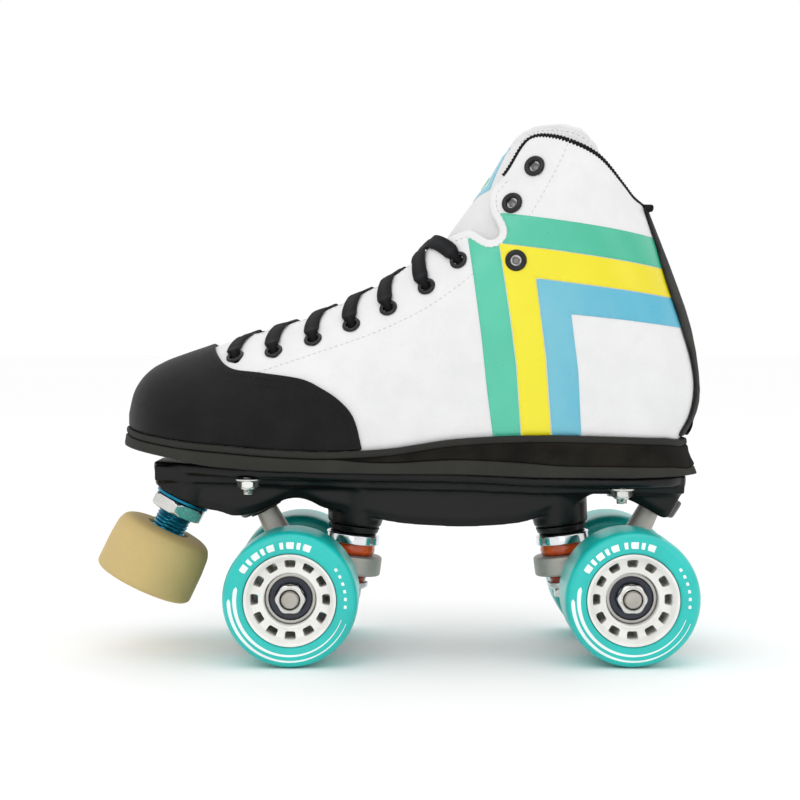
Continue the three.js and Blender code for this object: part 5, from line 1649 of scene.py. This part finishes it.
class SKATE_OT_bolts(SkateOperator, Operator):
    """Fit the four mounting bolts with their washers and locking nuts"""
    bl_idname = "skate.bolts"
    bl_label = "Mounting bolts"

    def build(self, sizes):
        for end, (x, spread) in BOLT_SETS.items():
            for side, sign in SIDES.items():
                y = sign * spread
                name = f"{end}_{side}_mount"
                low, high = corners(name + "_bolt")
                nut_high = corners(name + "_nut")[1]
                shank = threaded((x, y, low[2]), (x, y, nut_high[2]), 2.5, 0.8, 0.3, 24)
                plain = rod((x, y, nut_high[2] - 0.5), (x, y, high[2] - 1.2), 2.45, sides=24)
                dome = turned(softened([(0, 0), (4.9, 0), (4.4, 0.7), (2.6, 1.45), (0, 1.5)], 0.3), 40)
                head = moved(dome, Matrix.Translation((x, y, high[2] - 1.5)))
                fit(name + "_screw", joined(shank, plain, head), "zinc", 40, BOOT, "zinc", name + "_bolt")
                washer = turned(softened([(2.9, -1.1), (6.0, -1.1), (6.0, -0.1), (2.9, 0)], 0.3), 48)
                nut = hexagon_nut(8.4, 5.6, -4.2, -1.1, 0.6)
                ring = turned(softened([(2.7, -5.0), (3.4, -5.0), (3.6, -4.1), (2.7, -4.1)], 0.25), 40)
                stack = moved(joined(washer, nut, ring), Matrix.Translation((x, y, nut_high[2])))
                fit(name + "_lock_nut", stack, "zinc", 35, BOOT, "zinc", name + "_nut")


class SKATE_OT_toe_stop(SkateOperator, Operator):
    """Build the rubber toe stop on its threaded stem, with its nut and washer"""
    bl_idname = "skate.toe_stop"
    bl_label = "Toe stop"

    def build(self, sizes):
        profile = [(0, -27.4), (15, -27.4), (21.4, -27.0), (23.1, -25.4), (23.0, -12), (22.4, -4.2), (20.8, -0.6),
                   (17.8, 0.9), (13.6, 1.3), (9.6, 1.2), (9.0, -0.2), (8.2, -0.4), (8.2, -14.4), (0, -14.4)]
        pad = leaning_turn(STOP_FACE, STOP_TILT, softened(profile, 1.6, 5), 128)
        fit("stop_pad_rubber", pad, "stop", 45, "toe_stop", "stop_rubber", "toe_stop_pad")
        low, high = (leaning(STOP_FACE, STOP_TILT, distance)[0] for distance in (-13.9, 29.9))
        middle_point = leaning(STOP_FACE, STOP_TILT, -1.0)[0]
        stem = joined(rod(low, middle_point, 7.6), threaded(middle_point - 0.001, high, 7.95, 1.6, 0.62, 64))
        fit("stop_stem_thread", stem, "stem", 35, "toe_stop", "stem_metal", "toe_stop_stem")
        top = STOP_PLATE_DISTANCE - 0.3
        washer = leaning_turn(STOP_FACE, STOP_TILT, softened([(8.3, top - 1.4), (12.5, top - 1.4), (12.5, top),
                                                            (8.3, top)], 0.35), 64)
        fit("stop_washer_ring", washer, "stem", 40, BOOT, "stem_metal", "toe_stop_washer")
        place, direction = leaning(STOP_FACE, STOP_TILT)
        nut = moved(hexagon_nut(23.4, 16.5, top - 7.9, top - 1.7, 1.6), axis_frame(place, direction))
        fit("stop_jam_nut", nut, "zinc", 35, BOOT, "zinc", "toe_stop_nut")


# ---- trucks ----------------------------------------------------------------------------------------

class SKATE_OT_trucks(SkateOperator, Operator):
    """Cast the two hangers and stack the cushions on their kingpins"""
    bl_idname = "skate.trucks"
    bl_label = "Trucks"

    def build(self, sizes):
        for end in ENDS:
            self.hanger(end)
            self.axle(end)
            self.stack(end)

    def hanger(self, end):
        x, tilt = AXLE_X[end] - SHIFT, FACING[end] * KINGPIN_TILT
        kingpin, pivot = truck_point(end, KINGPIN_TOP), truck_point(end, PIVOT_TIP)
        base = truck_point(end, PIVOT_ARM_BASE)
        web = [truck_point(end, p) for p in ((-7, 3), (-3, 8), (12, 13), (16, 11), (12.5, 6.2), (8, 1), (5, -6),
                                             (0, -7))]
        tip = np.array([pivot[0], 0, pivot[1]])
        ball = turned([(4.5 * math.sin(a) if 0 < a < math.pi else 0, -4.5 * math.cos(a))
                       for a in np.linspace(0, math.pi, 17)], 32)
        sheets = [
            rod((x, -19, AXLE_Z), (x, 19, AXLE_Z), 8.5, edge=1.2),
            rod((x, -28.6, AXLE_Z), (x, 28.6, AXLE_Z), 6.4, edge=0.8),
            extruded(web, 9), leaning_rod(kingpin, tilt, -22.4, -13.4, 14.7, edge=1.2),
            rod((base[0], 0, base[1]), tip, 7.3, 4.6, edge=0.3), moved(ball, Matrix.Translation(tip)),
        ]
        cutters = [leaning_rod(kingpin, tilt, -27, -10, 7.0, sides=48),
                   rod((x, -40, AXLE_Z), (x, 40, AXLE_Z), 4.3)]
        piece = moulded(end + "_cast_hanger", sheets, FINISH["cast"], 0.5, 5, cutters)
        settle(piece, end + "_truck", "cast_metal", end + "_hanger")

    def axle(self, end):
        x = AXLE_X[end] - SHIFT
        low, high = corners(end + "_axle")
        parts = [rod((x, low[1] + 12, AXLE_Z), (x, high[1] - 12, AXLE_Z), 3.9)]
        for sign in (-1, 1):
            outside = abs(low[1]) * sign
            parts.append(threaded((x, outside - sign * 13, AXLE_Z), (x, outside - sign * 0.4, AXLE_Z),
                                  3.95, 1.0, 0.4))
            parts.append(rod((x, outside - sign * 1.6, AXLE_Z), (x, outside, AXLE_Z), 3.45, edge=0.4))
        fit(end + "_axle_rod", joined(*parts), "axle", 35, end + "_truck", "zinc", end + "_axle")

    def stack(self, end):
        kingpin, tilt = truck_point(end, KINGPIN_TOP), FACING[end] * KINGPIN_TILT
        place, direction = leaning(kingpin, tilt)

        def ring(name, profile, finish, material_slot, node, radius=0.5):
            sheet = leaning_turn(kingpin, tilt, softened(profile, radius), 80)
            fit(f"{end}_{name}", sheet, finish, 40, BOOT, material_slot, *([node] if node else []))

        foot, head = (leaning(kingpin, tilt, distance)[0] for distance in (-34.2, -26))
        pin = joined(threaded(foot, head, 4.7, 1.2, 0.45),
                     rod(head - 0.01 * direction, place + 15.9 * direction, 4.55))
        fit(end + "_kingpin_bolt", pin, "zinc", 35, BOOT, "zinc", end + "_kingpin")
        ring("cushion_seat", [(5.1, -0.3), (11.9, -0.3), (11.0, -3.1), (5.1, -3.1)], "nylon", "nylon", None)
        cup = [(5.1, -3.2), (9.8, -3.2), (12.3, -4.2), (12.5, -8.3), (11.7, -8.3), (11.3, -5.2), (5.1, -4.6)]
        ring("cup_washer", cup, "chrome", "chrome", end + "_top_washer")
        cup = [(5.1, -29.2), (7.6, -29.2), (9.7, -27.9), (9.9, -25.9), (9.3, -25.9), (8.9, -27.2), (5.1, -27.6)]
        ring("lower_cup_washer", cup, "chrome", "chrome", end + "_bottom_washer", 0.3)
        nut = moved(hexagon_nut(14, 10.1, -33.0, -29.3, 0.6, collar=0.0), axis_frame(place, direction))
        fit(end + "_kingpin_lock_nut", nut, "zinc", 35, BOOT, "zinc", end + "_kingpin_nut")
        cup_place, cup_direction = leaning(truck_point(end, PIVOT_TIP), FACING[end] * ARM_TILT)
        cup = softened([(5.6, -5), (7.5, -5), (7.5, 6.8), (0, 6.8), (0, 4.8), (3.2, 4.0), (5.6, 1.4)], 0.4)
        seat = moved(turned(cup, 48), axis_frame(cup_place, cup_direction))
        fit(end + "_pivot_seat", seat, "cup", 40, BOOT, "cup_plastic", end + "_pivot_cup")
        self.cushion(end, "top", "cushion", kingpin, tilt, 11.0, -4.9, -13.2)
        self.cushion(end, "bottom", "lower_cushion", kingpin, tilt, 8.6, -22.6, -27.2)

    def cushion(self, end, level, finish, kingpin, tilt, radius, high, low):
        """A crowned urethane ring turned about the leaning kingpin."""
        tall = high - low
        profile = [(5.2, low), (radius - 0.9, low), (radius - 0.2, low + 0.12 * tall), (radius, low + 0.3 * tall),
                   (radius - 0.35, (low + high) / 2), (radius, high - 0.3 * tall), (radius - 0.2, high - 0.12 * tall),
                   (radius - 0.9, high), (5.2, high)]
        piece = make(f"{end}_{level}_cushion_ring", leaning_turn(kingpin, tilt, softened(profile, 0.7), 72),
                     FINISH[finish], 45)
        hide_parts(f"{end}_{level}_cushion")
        near_far = (high, low) if level == "top" else (low, high)
        near, far = (leaning(kingpin, tilt, distance)[0] for distance in near_far)
        start, stop = ((point + (SHIFT, 0, 0)) * MM for point in (near, far))
        end + "_truck"
        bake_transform(piece)


# ---- wheels ----------------------------------------------------------------------------------------

TYRE_RADIUS, TYRE_HALF, HUB_RADIUS = 29.5, 19.0, 20.0


def on_wheel(sheet, end, side):
    """A wheel's piece, made about +z facing outwards, set on its axle."""
    place = Vector((AXLE_X[end] - SHIFT, middle(f"{end}_{side}_tyre")[1], AXLE_Z))
    turn = Matrix.Rotation(math.radians(90 if side == "left" else -90), 4, "X")
    if side == "right":
        turn = turn @ Matrix.Rotation(math.pi, 4, "Z")
    return moved(sheet, Matrix.Translation(place) @ turn)


class SKATE_OT_wheels(SkateOperator, Operator):
    """Build the four wheels: tyre, hub, bearings, print and axle nut"""
    bl_idname = "skate.wheels"
    bl_label = "Wheels"

    def build(self, sizes):
        shapes = {
            "tyre": (self.tyre(sizes.tyre_sides), "urethane", "urethane", "tyre"),
            "print": (self.print_marks(), "print", "urethane", None),
            "core": (self.hub(), "hub", "hub_plastic", "hub"),
        }
        for end, side in itertools.product(ENDS, SIDES):
            label = f"{end}_{side}"
            body = label + "_wheel"
            for name, (sheet, finish, material_slot, node) in shapes.items():
                full = f"{label}_{name}_{'ring' if node else 'marks'}"
                fit(full, on_wheel(sheet, end, side), finish, 40, body, material_slot,
                    *([f"{label}_{node}"] if node else []))
            self.bearings(label, body, end, side)
            nut = hexagon_nut(12, 8.6, 10.3, 14.5, 1.2, collar=1.3, collar_radius=5.1)
            fit(label + "_lock_nut", on_wheel(nut, end, side), "zinc", 32, end + "_truck", "zinc",
                label + "_axle_nut")

    def tyre(self, sides):
        half, radius = TYRE_HALF, TYRE_RADIUS
        face = [(20.3, half - 1.3), (20.9, half - 0.4), (22.0, half - 0.15), (24.4, half), (26.2, half - 0.2),
                (27.6, half - 0.9), (28.7, half - 2.2), (29.3, half - 4.2), (radius, half - 7)]
        profile = face + [(radius, 0)] + [(r, -h) for r, h in reversed(face)] + [(20.3, 0)]
        points = spline(profile[:len(face)], np.linspace(0, 1, 30)).tolist()
        whole = points + [(r, -h) for r, h in reversed(points)]
        return turned([tuple(p) for p in whole], sides)

    def face_height(self, radius):
        return np.interp(radius, (20.9, 22.0, 24.4, 26.2, 27.6, 28.7), (18.6, 18.85, 19.0, 18.8, 18.1, 16.8))

    def arc(self, radius, start, end, wide_start, wide_end, count=60):
        """A tapered printed line round the tyre's face, with a round end where it is widest."""
        angles = np.radians(np.linspace(start, end, count))
        width = np.linspace(wide_start, wide_end, count) * np.sqrt(
            1 - np.maximum(0, 1 - np.arange(count) / 2.0) ** 2 + 1e-3)
        rows = []
        for across in (-0.5, -0.17, 0.17, 0.5):
            r = radius + across * width
            rows.append(np.stack([r * np.cos(angles), r * np.sin(angles), self.face_height(r) + 0.14], axis=1))
        points = np.concatenate(rows)
        faces = grid_faces(4, count)
        normals = np.tile((0.0, 0.0, 1.0), (len(points), 1))
        return slab((np.concatenate([points, normals], axis=1), faces), 0.12, 0.0, rows=0)

    def print_marks(self):
        marks = [self.arc(26.2, 178, 338, 1.7, 0.25), self.arc(23.7, 165, 340, 1.8, 0.25)]
        angle = 149.0
        for wide in (8, 4, 8, 4, 8, 0, 4, 8, 4, 8):
            if wide:
                marks.append(self.arc(24.0, angle, angle - wide, 2.9, 2.9, 16))
            angle -= wide + 2.8
        for angle in np.arange(34, -14, -8.0):
            marks.append(self.arc(24.1, angle + 1.8, angle - 1.8, 1.2, 1.2, 8))
        return joined(*marks)

    def hub(self):
        """The spoked hub: twelve rounded windows through a dished web, between the rim and the seat."""
        radii = np.concatenate([np.linspace(11.35, 12.3, 4), np.linspace(12.6, 18.4, 26),
                                np.linspace(18.6, 20.0, 7)])
        sides = 288
        angles = np.arange(sides) * 2 * math.pi / sides
        rise = self.hub_face(radii)
        points = np.stack([radii[:, None] * np.cos(angles), radii[:, None] * np.sin(angles),
                           rise[:, None] + 0 * angles], axis=-1).reshape(-1, 3)
        faces = grid_faces(len(radii), sides, close_columns=True)

        def around_windows(points):
            radius = np.hypot(points[:, 0], points[:, 1])
            angle = np.arctan2(points[:, 1], points[:, 0])
            pitch = math.pi / 6
            off = (angle + pitch / 2) % pitch - pitch / 2
            wide = 2.35 + 0.16 * (radius - 15.6)
            dx = np.abs(radius - 15.6) - (1.75 - 0.9)
            dy = np.abs(radius * off) - (wide - 0.9)
            return np.hypot(np.maximum(dx, 0), np.maximum(dy, 0)) + np.minimum(np.maximum(dx, dy), 0) - 0.9

        front = keep_where((points, faces), around_windows)
        outer = front[0]
        far = outer * (1, 1, -1)
        return slab((outer, front[1]), 1.0, 0.0, rows=5, sink=far)

    def hub_face(self, radius):
        """Proud at the bearing seat and the rim, dished between them."""
        return np.interp(radius, (11.3, 11.8, 12.4, 13.2, 15.0, 16.8, 18.0, 18.8, 19.4, 20.0),
                         (13.2, 13.9, 14.0, 13.6, 13.4, 14.6, 16.4, 17.6, 17.9, 17.9))

    def bearings(self, label, body, end, side):
        for place, sign in (("outer", 1), ("inner", -1)):
            def lay(profile):
                sheet = turned(softened([(r, sign * h) for r, h in profile], 0.2, 3), 96)
                return on_wheel(sheet, end, side)
            rings = joined(lay([(9.6, 3), (11, 3), (11, 10), (9.6, 10), (9.5, 9.5)]),
                           lay([(4.3, 3), (6.2, 3), (6.3, 9.6), (6.0, 10), (4.3, 10)]))
            fit(f"{label}_{place}_bearing_rings", rings, "steel", 35, body, "bearing", f"{label}_{place}_bearing")
            shield = lay([(6.35, 8.6), (9.45, 8.6), (9.45, 9.3), (8.9, 9.45), (7.0, 9.35), (6.35, 9.15)])
            fit(f"{label}_{place}_bearing_shield", shield, "shield", 35, body, "bearing")


# ---- the stage -------------------------------------------------------------------------------------

class SKATE_OT_stage(Operator):
    """Set up the floor, the soft lights and the camera"""
    bl_idname = "skate.stage"
    bl_label = "Stage"

    def execute(self, context):
        scene = context.scene
        self.floor()
        world = bpy.data.worlds.new("pale_room")
        world.use_nodes = True
        world.node_tree.nodes["Background"].inputs["Color"].default_value = (1, 1, 1, 1)
        world.node_tree.nodes["Background"].inputs["Strength"].default_value = 1.0
        scene.world = world
        scene.view_settings.view_transform = "Standard"
        self.light("key", (-0.55, -1.2, 1.25), (0, 0, 0.12), 0.9, 3.0)
        self.light("fill", (1.0, -0.9, 0.7), (0, 0, 0.1), 0.8, 1.2)
        self.light("top", (0.05, 0.1, 1.4), (0, 0, 0.1), 1.0, 1.8)
        self.light("low", (-0.1, -1.3, 0.1), (0, 0, 0.06), 0.5, 0.5)
        lens = bpy.data.cameras.new("camera")
        lens.lens, lens.sensor_width = 83.4, 36
        lens.clip_start, lens.clip_end = 0.05, 20
        camera = bpy.data.objects.new("camera", lens)
        camera.location = (SHIFT * MM, -0.85, 0.1436)
        camera.rotation_euler = (math.radians(88.0), 0, 0)
        scene.collection.objects.link(camera)
        scene.camera = camera
        return {"FINISHED"}

    def floor(self):
        """A pale floor that reaches far past the view."""
        mesh = bpy.data.meshes.new("floor")
        mesh.from_pydata([(x, y, 0) for x, y in ((-12, -12), (12, -12), (12, 12), (-12, 12))], [], [(0, 1, 2, 3)])
        finish = Finish("pale_floor", (0.9, 0.9, 0.9), 0.6)
        spot = finish.place()
        pale, paler = (0.98, 0.98, 0.98), (0.99, 0.99, 0.99)
        finish.drive("Base Color", finish.blend(finish.noise(spot, 0.01, 2.0), pale, paler))
        floor = finished(bpy.data.objects.new("floor", mesh), finish.material)

    def light(self, name, place, aim, size, power):
        lamp = bpy.data.lights.new(name, "AREA")
        lamp.shape, lamp.size, lamp.energy = "DISK", size, power
        thing = bpy.data.objects.new(name, lamp)
        thing.location = place
        thing.rotation_euler = (Vector(aim) - Vector(place)).to_track_quat("-Z", "Y").to_euler()
        bpy.context.scene.collection.objects.link(thing)


class SKATE_PT_panel(Panel):
    """Lists the skate's sizes, colours and pieces"""
    bl_idname = "SKATE_PT_panel"
    bl_label = "Quad Roller Skate"
    bl_space_type = "VIEW_3D"
    bl_region_type = "UI"
    bl_category = "Skate"

    def draw(self, context):
        for group in (context.scene.skate_sizes, context.scene.skate_colors):
            for name in group.__annotations__:
                self.layout.prop(group, name)
        for operator in OPERATORS:
            self.layout.operator(operator.bl_idname)


OPERATORS = [
    SKATE_OT_stage, SKATE_OT_upper, SKATE_OT_stripes, SKATE_OT_toe_cap, SKATE_OT_tongue, SKATE_OT_stitching,
    SKATE_OT_eyelets, SKATE_OT_binding, SKATE_OT_lace, SKATE_OT_sole, SKATE_OT_plate, SKATE_OT_bolts,
    SKATE_OT_toe_stop, SKATE_OT_trucks, SKATE_OT_wheels,
]
CLASSES = [SkateColors, SkateSizes, *OPERATORS, SKATE_PT_panel]


def register():
    for cls in CLASSES:
        bpy.utils.register_class(cls)
    bpy.types.Scene.skate_colors = PointerProperty(type=SkateColors)
    bpy.types.Scene.skate_sizes = PointerProperty(type=SkateSizes)


def unregister():
    del bpy.types.Scene.skate_colors, bpy.types.Scene.skate_sizes
    for cls in reversed(CLASSES):
        bpy.utils.unregister_class(cls)


def main():
    register()
    FINISH.update(finishes(bpy.context.scene.skate_colors))
    for operator in OPERATORS:
        area, name = operator.bl_idname.split(".")
        getattr(getattr(bpy.ops, area), name)()


if __name__ == "__main__":
    main()
